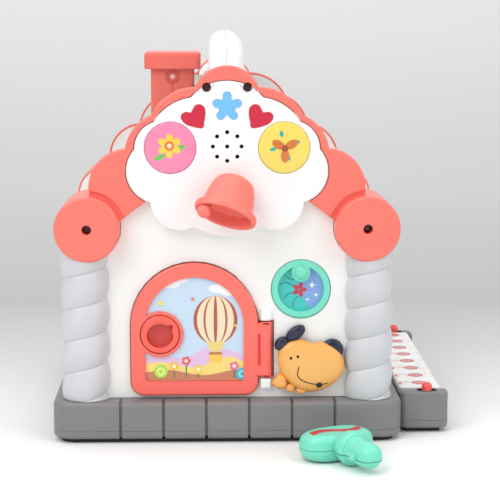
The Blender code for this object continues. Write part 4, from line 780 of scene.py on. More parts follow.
def rollForm(form, end):
    # Both rolls of one end: turned about Y, with a screw hole in the face.
    r, face = roll, plinth["deep"]
    floor, back = face - r["holeDeep"], face - r["deep"]
    profile = softened([(0, floor), (r["hole"], floor), (r["hole"], face, 0.5), (r["radius"], face, r["rim"]),
                        (r["radius"], back, 0.5), (0, back)], 8)
    for side in (-1, 1):
        turnForm(form, profile * [1, end], side * r["x"], r["z"])


def makeFrontGable():
    g, r, s = gable, roll, topScrew
    edge = topHalf(g, gableShares["crown"], gableShares["scallops"], 28)
    feet = np.array(sized(gableShares["foot"], g))
    feet = np.concatenate([np.linspace(a, b, 40)[:-1] for a, b in zip(feet[:-1], feet[1:])])
    # The inner edge follows the cloud panel, from where the feet come nearest to it.
    inner = inset(mirrored(cloudHalf()), -cloud["gap"])
    inner = inner[inner[:, 0] >= -0.01]
    inner = inner[np.argsort(-np.arctan2(inner[:, 1] - cloud["middle"], inner[:, 0]))]
    far = np.linalg.norm(feet[:, None] - inner[None], axis=2)
    m, k = np.unravel_index(far.argmin(), far.shape)
    right = np.concatenate([edge, feet[:m + 1], inner[:k][::-1]])
    right[-1, 0] = 0
    whole = leftTurning(np.concatenate([right, (right * [-1, 1])[::-1][1:-1]]))
    bitten = whole
    for side in (-1, 1):
        bitten = bite(bitten, (side * r["x"], r["z"]), r["groove"])
        bitten = bite(bitten, (side * s["x"], s["z"]), s["hole"])
        whole = bite(whole, (side * s["x"], s["z"]), s["hole"])
    form = Form()
    plates = ((bitten, g["near"], g["rim"]), (inset(whole, 0.06), g["near"] + g["groove"], 0.3))
    for line, near, rimOut in plates:
        # The rim is smaller beside the panel, the rolls and the screw holes.
        panel = [np.linalg.norm(line[:, None] - (inner * [side, 1])[None], axis=2).min(1) for side in (1, -1)]
        rims = np.where(np.minimum(*panel) < 1.2, 0.35, rimOut)
        for side in (-1, 1):
            fromRoll = np.hypot(line[:, 0] - side * r["x"], line[:, 1] - r["z"])
            rims = np.where(fromRoll < r["groove"] + 0.1, 0.5, rims)
            fromScrew = np.hypot(line[:, 0] - side * s["x"], line[:, 1] - s["z"])
            rims = np.where(fromScrew < s["hole"] + 0.2, 0.3, rims)
        rims = np.minimum(rims, rimOut)
        rims = np.convolve(np.concatenate([rims[-2:], rims, rims[:2]]), np.ones(5) / 5, "valid")
        plateForm(form, line, near, g["far"], rim=rims)
    rollForm(form, -1)
    makePiece("frontBoard", form, "boardCoral", "house", ["front_gable"])


def shadeInk(place, tone):
    # Pale grey high on the roof, white near the eaves.
    return place.spot(2).below(205.0, 60.0).mix(tone, eaveWhite)


def rearInk(place, tone):
    # The inner end of each rear roll is pale inside a dark line of painted shade, like the board.
    x, up = abs(place.spot(0)) - roll["x"], place.spot(2) - roll["z"]
    inner = place.spot(1).below(plinth["deep"] + 0.4 - roll["deep"], 0.1)
    far = (x * x + up * up) ** 0.5
    tone = (far.below(roll["radius"] - 1.3, 0.2) * inner).mix(tone, shadowLineRed)
    return (far.below(roll["radius"] - 1.7, 0.2) * inner).mix(tone, eaveWhite)


finishes["rearCoral"] = moulded(boardCoral, paint=rearInk)
# Painted shade: the lining is pale grey high up, turning white near the eaves.
finishes["shadedLining"] = moulded(rgb(224, 223, 220), paint=shadeInk, roughness=0.45)
finishes["roofShade"] = moulded(rgb(194, 193, 190), paint=shadeInk, roughness=0.45)


def makeRearGable():
    g, r = gable, roll
    edge = topHalf(g, gableShares["crown"], gableShares["scallops"] + (gableShares["eave"],), 24)
    line = mirrored(np.concatenate([edge, np.array(sized(gableShares["foot"], g))]))
    bitten = line
    for side in (-1, 1):
        bitten = bite(bitten, (side * r["x"], r["z"]), r["groove"])
    form = Form()
    plateForm(form, bitten, -g["far"], -g["near"], backRim=g["rim"])
    plateForm(form, inset(line, 0.06), -g["far"] + 0.08, -g["near"] - g["groove"], backRim=0.3)
    rollForm(form, 1)
    makePiece("rearBoard", form, "rearCoral", "house", ["rear_gable"])
    # The board is pale inside its coral edge, with a dark line between the two: the dark line is painted
    # shade of the gap to the roof, and the pale lining is painted grey as shade higher up.
    for name, look, amount, thick in rearLayers:
        form = plateForm(Form(), inset(line, amount), -g["far"] - thick, -g["far"] + 0.1)
        makePiece(f"rear_{name}", form, look, "house", [])


roof = dict(step=1.5, sink=4.5, thick=3.0, flat=262.0, fascia=123.0, middle=0.1, arcSteps=18, end=126.0,
            full=86.2)
chimney = dict(x=-41.3, y=-42.0, half=16.9, wall=2.0, low=229.0, top=281.0, corner=3.0)


def makeRoof():
    r = roof
    valleys = sized([gableShares["crown"], *gableShares["scallops"], gableShares["eave"]], gable)
    line = scallopLine(valleys[1:], valleys[0][:2], r["arcSteps"])
    x, z = line[-1]
    out = x + r["thick"] * 0.9
    whole = np.concatenate([[(r["middle"], r["flat"] + r["step"])], line, [(out, z - 6), (out, r["fascia"])]])
    ring = np.concatenate([whole, [(r["middle"], r["fascia"])]])

    def moved(amount):
        line = inset(ring[::-1], amount)[::-1][:len(whole)]
        line[0, 0], line[-1, 1] = r["middle"], r["fascia"]
        return line

    outer, inner = moved(r["sink"]), moved(r["sink"] + r["thick"])
    valley = 1 + 3 * r["arcSteps"] + 1  # beside the boards a skin ends here, at the valley above the roll
    end, full = r["end"], r["full"]
    for name, side in sides:
        form = Form()
        for near, far, last in ((-end, -full, valley), (-full, full, len(outer)), (full, end, valley)):
            skin = leftTurning(np.concatenate([outer[:last], inner[:last][::-1]]) * [side, 1])
            plateForm(form, skin, near, far)
        makePiece(f"roof_{name}_skin", form, "roofShade", "house", [f"roof_{name}"], 30)


handle = dict(half=13.6, rise=13.4, drop=5.0, seam=0.12, start=-82.0, low=266.0, high=287.4, end=126.0,
              block=66.0, blockRim=3.0)
gripShares = ((0.0, 0.0), (0.03, 0.47), (0.13, 0.80), (0.32, 0.94), (0.56, 0.99), (1.0, 1.0))


def makeHandle():
    # The grip's half section is a quarter oval above and a flatter one below, carried along the middle line.
    h = handle
    t = np.linspace(0.06, tau / 4, 18)
    over = np.stack([h["half"] * np.sin(t), h["rise"] * np.cos(t)], 1)
    t = np.linspace(0, tau / 4, 8)[1:]
    under = np.stack([h["half"] * (0.72 + 0.28 * np.cos(t) ** 0.6), -h["drop"] * np.sin(t)], 1)
    seamEnd = [(h["seam"] + 0.5, -h["drop"]), (h["seam"], -h["drop"] + 0.5)]
    section = np.concatenate([[(h["seam"], h["rise"] - 0.5)], over, under, seamEnd])
    lift = h["high"] - h["low"]
    line = np.array([(h["start"] * (1 - along), h["low"] + lift * up) for along, up in gripShares])
    line = np.concatenate([line, (line * [-1, 1])[:-1][::-1]])
    line = curvePoints(line, 8, closed=False)
    way = np.gradient(line, axis=0)
    way /= np.linalg.norm(way, axis=1, keepdims=True)
    up = np.stack([-way[:, 1], way[:, 0]], 1)
    # The blocks that carry it fill the boards' crown above the flat of the roof.
    x, z, bulge = sized([gableShares["crown"]], gable)[0]
    crown = np.concatenate([arcPoints((-x, z), (x, z), bulge, 48)[24:], [(x, z)]])
    block = inset(np.concatenate([crown, [(0, z)]])[::-1], roof["step"])[::-1][:len(crown)]
    foot = roof["flat"] + 0.3
    block = block[block[:, 1] > foot]
    block[:, 0] = np.maximum(block[:, 0], h["seam"])
    block[0, 0] = h["seam"]
    block = np.concatenate([block, [(block[-1, 0] + 0.3, foot), (h["seam"], foot)]])
    ends = ((-h["end"], -h["block"], 0, h["blockRim"]), (h["block"], h["end"], h["blockRim"], 0))
    for name, side in sides:
        form = Form()
        rows = [placed(line + up * rise, side * across, "X") for across, rise in section]
        index = form.grid(np.stack(rows, 1))
        for ring in (index[0], index[-1]):
            form.cap([(ring, section)])
        for near, far, nearRim, backRim in ends:
            plateForm(form, block * [side, 1], near, far, rim=nearRim, backRim=backRim)
        makePiece(f"handleHalf_{name}", form, "cloud", "house", [f"handle_{name}"])


# Cloud panel and what sits in it

button = dict(x=41.8, z=217.5, radius=18.85, hole=19.05, dome=1.6, rim=1.0, flange=20.4, out=0.9)
star = dict(z=247.5, reach=7.9, arm=3.1, dip=6.5, points=5, border=1.5, tip=(-1.4, -0.7, 0, 0.7, 1.4))
heart = dict(x=24.5, z=240.5, half=8.8)
heartShares = ((-0.70, -0.98), (-0.87, -0.45), (-0.97, 0.23), (-0.88, 0.74), (-0.52, 0.98), (-0.13, 0.87),
               (0.12, 0.46), (0.26, 0.30), (0.68, 0.34), (1.0, 0.14), (1.02, -0.20), (0.79, -0.53),
               (0.34, -0.78))
lens = dict(out=0.3, rim=0.5, play=0.12)
speakerHoles = dict(z=218.3, ring=10.5, hole=1.5, count=8)
bell = dict(x=7.6, y=-139.4, z=197.4, pitch=-36, tilt=20, radius=23.4, long=36.4, squash=0.66, boss=4.0,
            drop=6.2, hole=4.5, keeper=5.6)


def starLine(grow=0.0):
    # Arms and dips joined by a smooth closed curve.
    s = star
    arm, points = s["arm"] + grow, []
    for k in range(s["points"]):
        angle = tau / 4 + tau * k / s["points"]
        cx, cz = s["reach"] * math.cos(angle), s["z"] + s["reach"] * math.sin(angle)
        points += [(cx + arm * math.cos(angle + j), cz + arm * math.sin(angle + j)) for j in s["tip"]]
        for side in (-1, 1):
            dip = angle + math.pi / s["points"] * (1 + side * 0.2)
            points.append(((s["dip"] + grow) * math.cos(dip), s["z"] + (s["dip"] + grow) * math.sin(dip)))
    return curvePoints(points, 4)


def heartLine(side):
    line = curvePoints(heartShares, 8) * heart["half"] + [heart["x"], heart["z"]]
    return leftTurning(line * [side, 1])


def makeCloud():
    c, b, s = cloud, button, speakerHoles
    line = mirrored(cloudHalf())
    for side in (-1, 1):
        line = bite(line, (side * topScrew["x"], topScrew["z"]), topScrew["hole"])
    stemHole = ringPoints(bell["x"], bell["z"] - bell["drop"], bell["hole"])
    holes = [dict(line=starLine(lens["play"]), rim=0.3), dict(line=stemHole, rim=0.3)]
    for side in (-1, 1):
        holes.append(dict(line=ringPoints(side * b["x"], b["z"], b["hole"], 96), rim=0.6))
        holes.append(dict(line=inset(heartLine(side), -lens["play"]), rim=0.3))
    for x, z in np.concatenate([ringPoints(0, s["z"], s["ring"], s["count"]), [(0, s["z"])]]):
        holes.append(dict(line=ringPoints(x, z, s["hole"], 24), rim=0.25))
    form = plateForm(Form(), line, c["near"], c["far"], rim=c["rim"], holes=holes, steps=8,
                     pocket=(inset(line, c["wall"]), c["near"] + c["face"]))
    plateForm(form, starLine(star["border"]), c["near"] - 0.28, c["near"] + 0.3, rim=0.25,
              holes=[dict(line=starLine(lens["play"]), rim=0.2)])
    makePiece("cloudFace", form, "cloud", "house", ["cloud_panel"])
    for name, side, body in (("pink", -1, "left_push_button"), ("yellow", 1, "right_push_button")):
        near, back = c["near"] - b["out"], c["near"] + c["face"] + 0.5
        t = np.linspace(0, 1, 14)
        top = np.stack([(b["radius"] - b["rim"]) * t, near - b["dome"] * 0.55 * (1 - t**2.4)], 1)
        t = np.linspace(0, tau / 4, 7)[1:]
        edge = np.stack([b["radius"] - b["rim"] + b["rim"] * np.sin(t), near + b["rim"] * (1 - np.cos(t))], 1)
        flange = np.array([(b["radius"], back), (b["flange"], back), (b["flange"], back + 1), (0, back + 1)])
        form = turnForm(Form(), np.concatenate([top, edge, flange]), side * b["x"], b["z"])
        makePiece(f"pushButton_{name}", form, f"{name}Print", body, [f"{name}_button"])
    near, far = c["near"] - lens["out"], c["near"] + c["face"] - lens["out"]
    form = plateForm(Form(), starLine(), near, far, rim=lens["rim"])
    makePiece("starLens", form, "starBlue", "house", ["star_lens"])
    for name, side in sides:
        form = plateForm(Form(), heartLine(side), near, far, rim=lens["rim"])
        makePiece(f"heartLens_{name}", form, "heartRed", "house", [f"heart_{name}"])


def petalMask(across, up, count, middle, long, wide, turn=0.0):
    # Petals round a middle: the angle is folded into one petal's share, and an oval stands out from it.
    far = (across * across + up * up) ** 0.5
    angle = up.sum("ARCTAN2", up, across) + turn
    folded = angle % (tau / count) - math.pi / count
    a = far * up.sum("COSINE", folded) - middle
    b = far * up.sum("SINE", folded)
    return ((a / long) ** 2 + (b / wide) ** 2).below(1.0, 0.12)


def frontPlaces(place, x, z):
    # How far across and up from a spot on the front, and how far from it.
    across, up = place.spot(0) - x, place.spot(2) - z
    return across, up, (across * across + up * up) ** 0.5


def pinkInk(place, tone):
    # A sunny flower with two leaves.
    across, up, far = frontPlaces(place, -button["x"] - 0.5, button["z"] + 1.5)
    tone = petalMask(across, up + 5, 2, 8.0, 4.6, 1.9, 1.15).mix(tone, rgb(120, 196, 92))
    tone = petalMask(across, up, 6, 5.4, 3.5, 2.6).mix(tone, rgb(255, 214, 74))
    tone = far.below(3.6, 0.25).mix(tone, rgb(238, 120, 62))
    return far.below(1.7, 0.25).mix(tone, rgb(255, 236, 200))


def yellowInk(place, tone):
    # A brown leaf spray with teal drops.
    across, up, far = frontPlaces(place, button["x"] + 0.5, button["z"] - 0.5)
    tone = petalMask(across, up - 2, 4, 9.0, 2.4, 1.5, 0.5).mix(tone, rgb(70, 178, 170))
    tone = petalMask(across, up, 3, 5.4, 5.2, 3.1, 0.52).mix(tone, rgb(214, 122, 52))
    return far.below(2.4, 0.25).mix(tone, rgb(160, 78, 38))


finishes["pinkPrint"] = moulded(rgb(252, 142, 182), paint=pinkInk, roughness=0.2, coat=0.35)
finishes["yellowPrint"] = moulded(rgb(248, 224, 102), paint=yellowInk, roughness=0.2, coat=0.35)


def makeScrews():
    s = topScrew
    reach, half = s["head"] * s["slotReach"], s["slot"]
    for name in [f"{kind}_screw_{hand}" for hand in ("left", "right") for kind in ("roll", "top")]:
        low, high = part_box(name)
        middle, seat = (low + high) / 2 * 1000, high.y * 1000
        plus = [(reach, -half), (reach, half), (half, half)]
        for arm in range(3):
            plus += [(-up, across) for across, up in plus[-3:]]
        slot = dict(line=np.array(plus) + [middle.x, middle.z], depth=s["slotDeep"])
        head = ringPoints(middle.x, middle.z, s["head"], 48)
        form = plateForm(Form(), head, seat - s["thick"], seat, rim=s["rim"], holes=[slot])
        makePiece(name, form, "screw", "house", [name])


# Bell

bellOutside = ((0.0, 0.0), (0.11, 0.006), (0.22, 0.030), (0.36, 0.062), (0.48, 0.108), (0.58, 0.165),
               (0.65, 0.240), (0.725, 0.410), (0.785, 0.620), (0.835, 0.785), (0.86, 0.815), (0.93, 0.822),
               (0.985, 0.862), (1.0, 0.920), (0.975, 0.972), (0.925, 0.990), (0.87, 0.980))
bellInside = ((0.845, 0.955), (0.815, 0.885), (0.785, 0.800), (0.73, 0.735), (0.60, 0.712), (0.3, 0.704),
              (0.0, 0.70))
clapper = dict(x=-15.4, y=-3.0, z=-38.9, radius=5.05, stem=1.4, hung=-0.081)


def leaned(points):
    # About X by the pitch, then about Y by the tilt, then to where the bell hangs.
    p, t = math.radians(bell["pitch"]), math.radians(bell["tilt"])
    aboutX = np.array([[1, 0, 0], [0, math.cos(p), -math.sin(p)], [0, math.sin(p), math.cos(p)]])
    aboutY = np.array([[math.cos(t), 0, math.sin(t)], [0, 1, 0], [-math.sin(t), 0, math.cos(t)]])
    return points @ (aboutY @ aboutX).T + [bell["x"], bell["y"], bell["z"]]


def makeBell():
    # The shell is turned about its own axis, flattened and leaned. The clapper is a ball on a thin cone.
    b, c = bell, clapper
    scale = np.array([b["radius"], -b["long"]])
    outside = curvePoints(np.array(bellOutside) * scale, 5, closed=False)
    inside = curvePoints(np.array([bellOutside[-1], *bellInside]) * scale, 5, closed=False)[1:]
    rows = turnRows(np.concatenate([outside, inside]), 0, 0, "Z", 96) * [1, b["squash"], 1]
    form = Form()
    form.grid(leaned(rows))
    front, back = b["y"] - 1, cloud["near"] + cloud["face"] + 0.3
    stem = softened([(0, front), (b["boss"], front, 1.5), (b["boss"], back), (b["keeper"], back),
                     (b["keeper"], back + 1), (0, back + 1)])
    turnForm(form, stem, b["x"], b["z"] - b["drop"], count=48)
    makePiece("bellShell", form, "coral", "swing_bell", ["bell"])
    top = c["hung"] * b["long"] - 0.6
    arm = Vector((c["x"], c["y"], c["z"] - top))
    t = np.linspace(0.28, math.pi, 20)
    ball = np.stack([c["radius"] * np.sin(t), c["radius"] * np.cos(t) - arm.length], 1)
    rows = turnRows(np.concatenate([[(0, 0), (c["stem"], -c["stem"])], ball]), 0, 0, "Z", 48)
    turn = np.array(Vector((0, 0, -1)).rotation_difference(arm).to_matrix())
    form = Form()
    form.grid(leaned(rows @ turn.T + [0, 0, top]))
    makePiece("bellBall", form, "coral", "swing_bell", ["bell_clapper"])


# Door, lock and window picture

door = dict(x=-24.7, half=47.7, spring=83.7, foot=30.6, corner=9.5, near=-131.0, far=-123.2, frame=10.9,
            rim=2.0, windowCorner=2.4, slit=(22.7, 24.7, 53.5, 77.8), slitDeep=1.1)
hinge = dict(x=28.8, y=-126.0, low=44.2, high=86.6, radius=5.3, dash=2.1, dashTall=1.1)
lock = dict(x=-50.5, z=77.6, boss=17.4, rotor=14.5, play=0.5, bowl=9.9, deep=6.2, drop=1.6, out=0.5,
            back=-122.3, notch=2.6, notchTurn=42, notchWide=0.19, count=144)
picture = dict(
    near=-128.8, far=-127.4, edge=1.6, middle=80.0, leaf=0.012,
    clouds=((-44, 116, 9), (-36, 119, 7), (-6, 112, 8), (1, 109, 6), (-14, 97, 6)),
    hills=(([(-70, 58), (-50, 60), (-30, 60), (-10, 68), (20, 58)], (228, 192, 228)),
           ([(-70, 54), (-48, 56), (-24, 52), (0, 60), (20, 52)], (250, 220, 116)),
           ([(-70, 47), (-44, 50), (-18, 46), (6, 50), (20, 47)], (200, 122, 84))),
    balloon=dict(x=-9, z=88, half=16.5, tall=18.5,
                 stripes=((-11.4, 2.4), (-4.4, 3.0), (4.4, 3.0), (11.4, 2.4))),
    flowers=((-31, 57, (236, 84, 98)), (-40, 53, (250, 196, 80)), (5, 53, (236, 104, 160)),
             (-22, 50.5, (250, 214, 92))),
    sweets=((-50, 49, 5.0, (176, 226, 70), (226, 248, 130)), (11, 47, 4.6, (30, 188, 214), (150, 232, 240))),
    stars=((-50, 101, 2.6, (252, 236, 70)), (-26, 104, 1.8, (240, 128, 74)), (6, 84, 1.4, (252, 214, 90))),
)


def makeDoor():
    d, h, k = door, hinge, lock
    outline = archPoints(d["x"], d["half"], d["spring"], d["foot"], d["corner"])
    side = d["x"] + d["half"]
    low, high = h["low"] + 0.8, h["high"] - 0.8
    keep = (outline[:, 0] < side - 0.05) | (outline[:, 1] < low) | (outline[:, 1] > high)
    leaf = np.array([(side, low), (h["x"] + 0.5, low), (h["x"] + 0.5, high), (side - 0.2, high)])
    outline = np.concatenate([outline[keep], leaf])
    half, foot = d["half"] - d["frame"], d["foot"] + d["frame"]
    window = archPoints(d["x"], half, d["spring"], foot, d["windowCorner"])
    opening = bite(leftTurning(window), (k["x"], k["z"]), k["boss"])
    rotorHole = ringPoints(k["x"], k["z"], k["rotor"] + k["play"], 96)
    holes = [dict(line=opening, rim=0.7), dict(line=rotorHole, rim=0.5),
             dict(line=roundedPoints(*d["slit"], 0.6), depth=d["slitDeep"], rim=0.3)]
    form = plateForm(Form(), outline, d["near"], d["far"], rim=d["rim"], backRim=0.8, holes=holes, steps=8)
    r = h["radius"]
    barrel = softened([(0, h["low"]), (r, h["low"], 0.5), (r, h["high"], 0.5), (0, h["high"])])
    turnForm(form, barrel, h["x"], h["y"], "Z", 48)
    makePiece("doorLeaf", form, "doorCoral", "door_leaf", ["door"])
    # The pin's ends show as two dark dashes on the leaf.
    form = Form()
    for z in (h["low"] + 0.6, h["high"] - 1.7):
        dash = roundedPoints(h["x"] - h["dash"], h["x"] + h["dash"], z, z + h["dashTall"], 0.3)
        plateForm(form, dash, h["y"] - h["radius"] - 0.2, h["y"] - 2)
    makePiece("hingeEnds", form, "pinRed", "door_leaf", [])


slitShade = dict(x=23.7, z=65.6, half=1.15, halfTall=12.5)


def doorShadeInk(place, tone):
    # Painted shade: deeper coral on the rounded edges, for the shaded gap round the door, and in the slit's
    # recess; deeper too toward the foot.
    near, deep, x, up = door["near"], place.spot(1), place.spot(0), place.spot(2)
    tone = (up.below(75.0, 50.0) * 0.45).mix(tone, rgb(255, 96, 86))
    edge = (1 - deep.below(near + 1.5, 0.5)) * (1 - deep.below(near + 0.3, 0.2))
    tone = edge.mix(tone, rgb(196, 44, 40))
    across, tall = slitShade["x"], slitShade["z"]
    slit = abs(x - across).below(slitShade["half"], 0.1) * abs(up - tall).below(slitShade["halfTall"], 0.2)
    slit = slit * (1 - deep.below(near + 0.4, 0.1))
    return slit.mix(tone, rgb(245, 40, 34))


finishes["doorCoral"] = moulded(rgb(255, 119, 105), paint=doorShadeInk, coat=0.14)
finishes["pinRed"] = moulded(rgb(104, 8, 10), roughness=0.4)


def flatInk(form, line, level, ink, thick=0.05):
    # One printed shape, as a leaf of film that stands a hair in front of the last.
    plateForm(form, line, level, level + thick, steps=2, ink=ink)


def ovalPoints(x, z, halfWide, halfHigh, degrees=0.0, count=40):
    angle, turn = tau * np.arange(count) / count, math.radians(degrees)
    u, v = halfWide * np.cos(angle), halfHigh * np.sin(angle)
    c, s = math.cos(turn), math.sin(turn)
    return np.stack([x + u * c - v * s, z + u * s + v * c], 1)


def spikePoints(x, z, count, long, short):
    # A star whose points and dips take turns.
    turn, step = np.arange(count) * tau / count, np.arange(count)
    reach = np.where(step % 2 == 0, long, short)
    return np.stack([x + reach * np.sin(turn), z + reach * np.cos(turn)], 1)[::-1]


def reachAt(points, ring, middle):
    # How far an outline lies from the middle in the direction of each point.
    ring, off = ring - middle, points - middle
    angle = np.arctan2(ring[:, 1], ring[:, 0])
    order = np.argsort(angle)
    return np.interp(np.arctan2(off[:, 1], off[:, 0]), angle[order], np.hypot(*ring.T)[order], period=tau)


def makeDoorPicture():
    # A sky with clouds, hills, a striped balloon, flowers and round sweets on sticks.
    d, k, p = door, lock, picture
    half, foot = d["half"] - d["frame"] + p["edge"], d["foot"] + d["frame"] - p["edge"]
    window = leftTurning(archPoints(d["x"], half, d["spring"], foot, d["windowCorner"], 60))
    form = Form()
    sheet = bite(window, (k["x"], k["z"]), k["rotor"] + k["play"])
    plateForm(form, sheet, p["near"], p["far"], ink=rgb(200, 224, 245))
    inner, middle = inset(window, 0.3), np.array([d["x"], p["middle"]])
    level = [p["near"]]

    def shape(line, colour):
        # Each point is kept no further out than the window's edge.
        level[0] -= p["leaf"]
        line = leftTurning(np.asarray(line, float))
        share = np.minimum(1, reachAt(line, inner, middle) / np.maximum(np.hypot(*(line - middle).T), 1e-6))
        flatInk(form, middle + (line - middle) * share[:, None], level[0], rgb(*colour))

    for x, z, w in p["clouds"]:
        shape(ovalPoints(x, z, w, w * 0.42), (250, 252, 255))
    for points, colour in p["hills"]:
        top = curvePoints(points, 12, closed=False)
        low = np.stack([np.linspace(top[0, 0], top[-1, 0], 80), np.full(80, 38.0)], 1)
        shape(np.concatenate([low, top[::-1]]), colour)
    b = p["balloon"]
    x, z = b["x"], b["z"]
    shape(ovalPoints(x, z, b["half"], b["tall"]), (178, 74, 56))
    t = np.linspace(-1, 1, 24)
    bend = np.sqrt(np.maximum(0, 1 - (t * 0.98) ** 2))
    for offset, wide in b["stripes"]:
        left = np.stack([x + (offset - wide) * bend, z + t * 18.2], 1)
        right = np.stack([x + (offset + wide) * bend, z + t * 18.2], 1)
        shape(np.concatenate([left, right[::-1]]), (246, 226, 190))
    shape([(x - 7, 71.5), (x + 7, 71.5), (x + 3.4, 64), (x - 3.4, 64)], (240, 214, 120))
    shape(roundedPoints(x - 4.6, x + 4.6, 55.5, 63, 1.6), (250, 206, 66))
    shape(roundedPoints(x - 4.9, x + 4.9, 61.6, 63.6, 0.8), (196, 120, 44))
    for x, z, colour in p["flowers"]:
        shape(roundedPoints(x - 0.5, x + 0.5, 44, z, 0.4), (60, 132, 74))
        for j in range(5):
            cx, cz = x + 2.1 * math.cos(tau * j / 5), z + 2.1 * math.sin(tau * j / 5)
            shape(ringPoints(cx, cz, 1.5, 16), colour)
        shape(ringPoints(x, z, 1.3, 16), (255, 246, 214))
    for x, z, r, colour, inside in p["sweets"]:
        shape(ringPoints(x, z, r, 40), colour)
        shape(ringPoints(x, z, r * 0.62, 32), inside)
        shape(ringPoints(x, z, r * 0.34, 24), colour)
    for x, z, r, colour in p["stars"]:
        shape(spikePoints(x, z, 10, r, r * 0.5), colour)
    makePiece("doorPicture", form, "film", "door_leaf", ["door_picture"])


def makeLock():
    # Turned about Y. The bowl's radius grows in one notch, and the bowl lies a little below the middle.
    k = lock
    near, back = door["near"] - k["out"], k["back"]
    floor = near + k["deep"]
    angle = tau * np.arange(k["count"]) / k["count"]
    away = (angle - math.radians(k["notchTurn"]) + math.pi) % tau - math.pi
    notch = k["notch"] * np.exp(-((away / k["notchWide"]) ** 4))
    profile = softened([(0, floor), (k["bowl"] * 0.93, floor, 1.4), (k["bowl"], near, 0.8),
                        (k["rotor"], near, 1.4), (k["rotor"], back), (0, back)], 7)
    radius, level = profile[:, :1], profile[:, 1:] * np.ones(k["count"])
    inBowl = ((radius <= k["bowl"] + 0.9) & (radius > k["bowl"] * 0.5)).astype(float)
    inBowl[int(np.argmax(profile[:, 0] > k["bowl"] + 0.9)):] = 0
    radius = radius + inBowl * notch[None]
    drop = np.where(profile[:, :1] <= k["bowl"] + 0.1, k["drop"], 0)
    rows = np.stack([k["x"] + radius * np.cos(angle), level, k["z"] - drop + radius * np.sin(angle)], -1)
    form = Form()
    form.grid(rows)
    bolt = roundedPoints(k["x"] - 4, k["x"] + 4, k["z"] - 4, k["z"] + 25, 2.4)
    plateForm(form, bolt, back - 0.3, back + 2.2)
    makePiece("lockRotor", form, "lockRed", "lock", ["lock_rotor"])


def bowlShadeInk(place, tone):
    # Painted shade in the bowl: its wall is painted a deeper red, and its floor a darker coral.
    deep = place.spot(1) - (door["near"] - lock["out"])
    inside = frontPlaces(place, lock["x"], lock["z"] - lock["drop"])[2].below(13.0, 0.3)
    tone = ((1 - deep.below(1.5, 0.9)) * inside).mix(tone, rgb(216, 30, 24))
    return ((1 - deep.below(lock["deep"] - 0.35, 0.2)) * inside).mix(tone, rgb(214, 74, 64))


finishes["lockRed"] = moulded(rgb(255, 104, 90), paint=bowlShadeInk)


# Dial

dial = dict(x=55.0, z=110.8, ring=22.1, window=17.2, lobe=7.1, lobeUp=12.5, knob=5.2, out=3.0, near=-127.2,
            back=-122.7, flange=23.6, flangeIn=20.0)
dialPicture = dict(
    near=-122.85, far=-121.7, seaLevel=-122.87, veinLevel=-122.89, petalLevel=-122.90, sparkleLevel=-122.91,
    sea=17.9, seaTurn=(75, 295), seaEdge=((2, -8), (-3, 1), (3, 9)), veinHalf=0.45,
    veins=(((-16, 3), (-11, 4.5), (-6, 2)), ((-13, -8), (-9, -4), (-5, -3)), ((-12, 10), (-8, 7), (-4, 7)),
           ((-6, -14), (-5, -9), (-2, -6))),
    sparkles=((8.5, 2.5, 2.8), (11.5, -5, 1.9), (5.0, -8.5, 1.6)),
)


def makeDial():
    d, p = dial, dialPicture
    knobUp, near, back = d["z"] + d["lobeUp"], d["near"], d["back"]
    opening = bite(ringPoints(d["x"], d["z"], d["window"], 120), (d["x"], knobUp), d["lobe"])
    form = plateForm(Form(), ringPoints(d["x"], d["z"], d["ring"], 120), near, back, rim=1.5,
                     holes=[dict(line=opening, rim=0.7)], steps=8)
    flange = softened([(d["flangeIn"], back), (d["flange"], back), (d["flange"], back + 1),
                       (d["flangeIn"], back + 1), (d["flangeIn"], back)])
    turnForm(form, flange, d["x"], d["z"])
    t = np.linspace(0, tau / 4, 12)
    ball = np.stack([d["knob"] * np.sin(t), near + 0.2 - d["out"] * np.cos(t)], 1)
    ball = np.concatenate([ball, [(d["knob"], near + 0.6), (0, near + 0.6)]])
    turnForm(form, ball, d["x"], knobUp, count=48)
    makePiece("dialRing", form, "mint", "dial", ["dial_ring"])
    # The picture: a sea-green side with veins, a blue side with sparkles, and petals between the two.
    form = Form()
    disc = ringPoints(d["x"], d["z"], d["window"] + 1.1, 96)
    plateForm(form, disc, p["near"], p["far"], ink=rgb(128, 168, 232))
    middle = np.array([d["x"], d["z"]])
    angle = np.linspace(*map(math.radians, p["seaTurn"]), 60)
    edge = middle + p["sea"] * np.stack([np.cos(angle), np.sin(angle)], 1)
    inner = curvePoints([edge[-1], *(middle + spot for spot in p["seaEdge"]), edge[0]], 12, closed=False)
    flatInk(form, np.concatenate([edge, inner[1:-1]]), p["seaLevel"], rgb(38, 200, 194))
    for line in p["veins"]:
        spine = curvePoints(np.array(line, float), 8, closed=False) + middle
        side = np.stack([-np.gradient(spine[:, 1]), np.gradient(spine[:, 0])], 1)
        side *= p["veinHalf"] / np.linalg.norm(side, axis=1)[:, None]
        vein = leftTurning(np.concatenate([spine + side, (spine - side)[::-1]]))
        flatInk(form, vein, p["veinLevel"], rgb(14, 128, 132))
    for j in range(5):
        x, z = middle[0] - 1 + 3.1 * math.cos(tau * j / 5), middle[1] - 1 + 3.1 * math.sin(tau * j / 5)
        flatInk(form, ovalPoints(x, z, 2.6, 1.7, 72 * j), p["petalLevel"] - j * 0.004, rgb(196, 34, 66))
    for x, z, size in p["sparkles"]:
        flatInk(form, middle + [x, z] + spikePoints(0, 0, 8, size, size * 0.36), p["sparkleLevel"],
                rgb(250, 252, 255))
    makePiece("dialPicture", form, "film", "dial", ["dial_picture"])


# Dog button

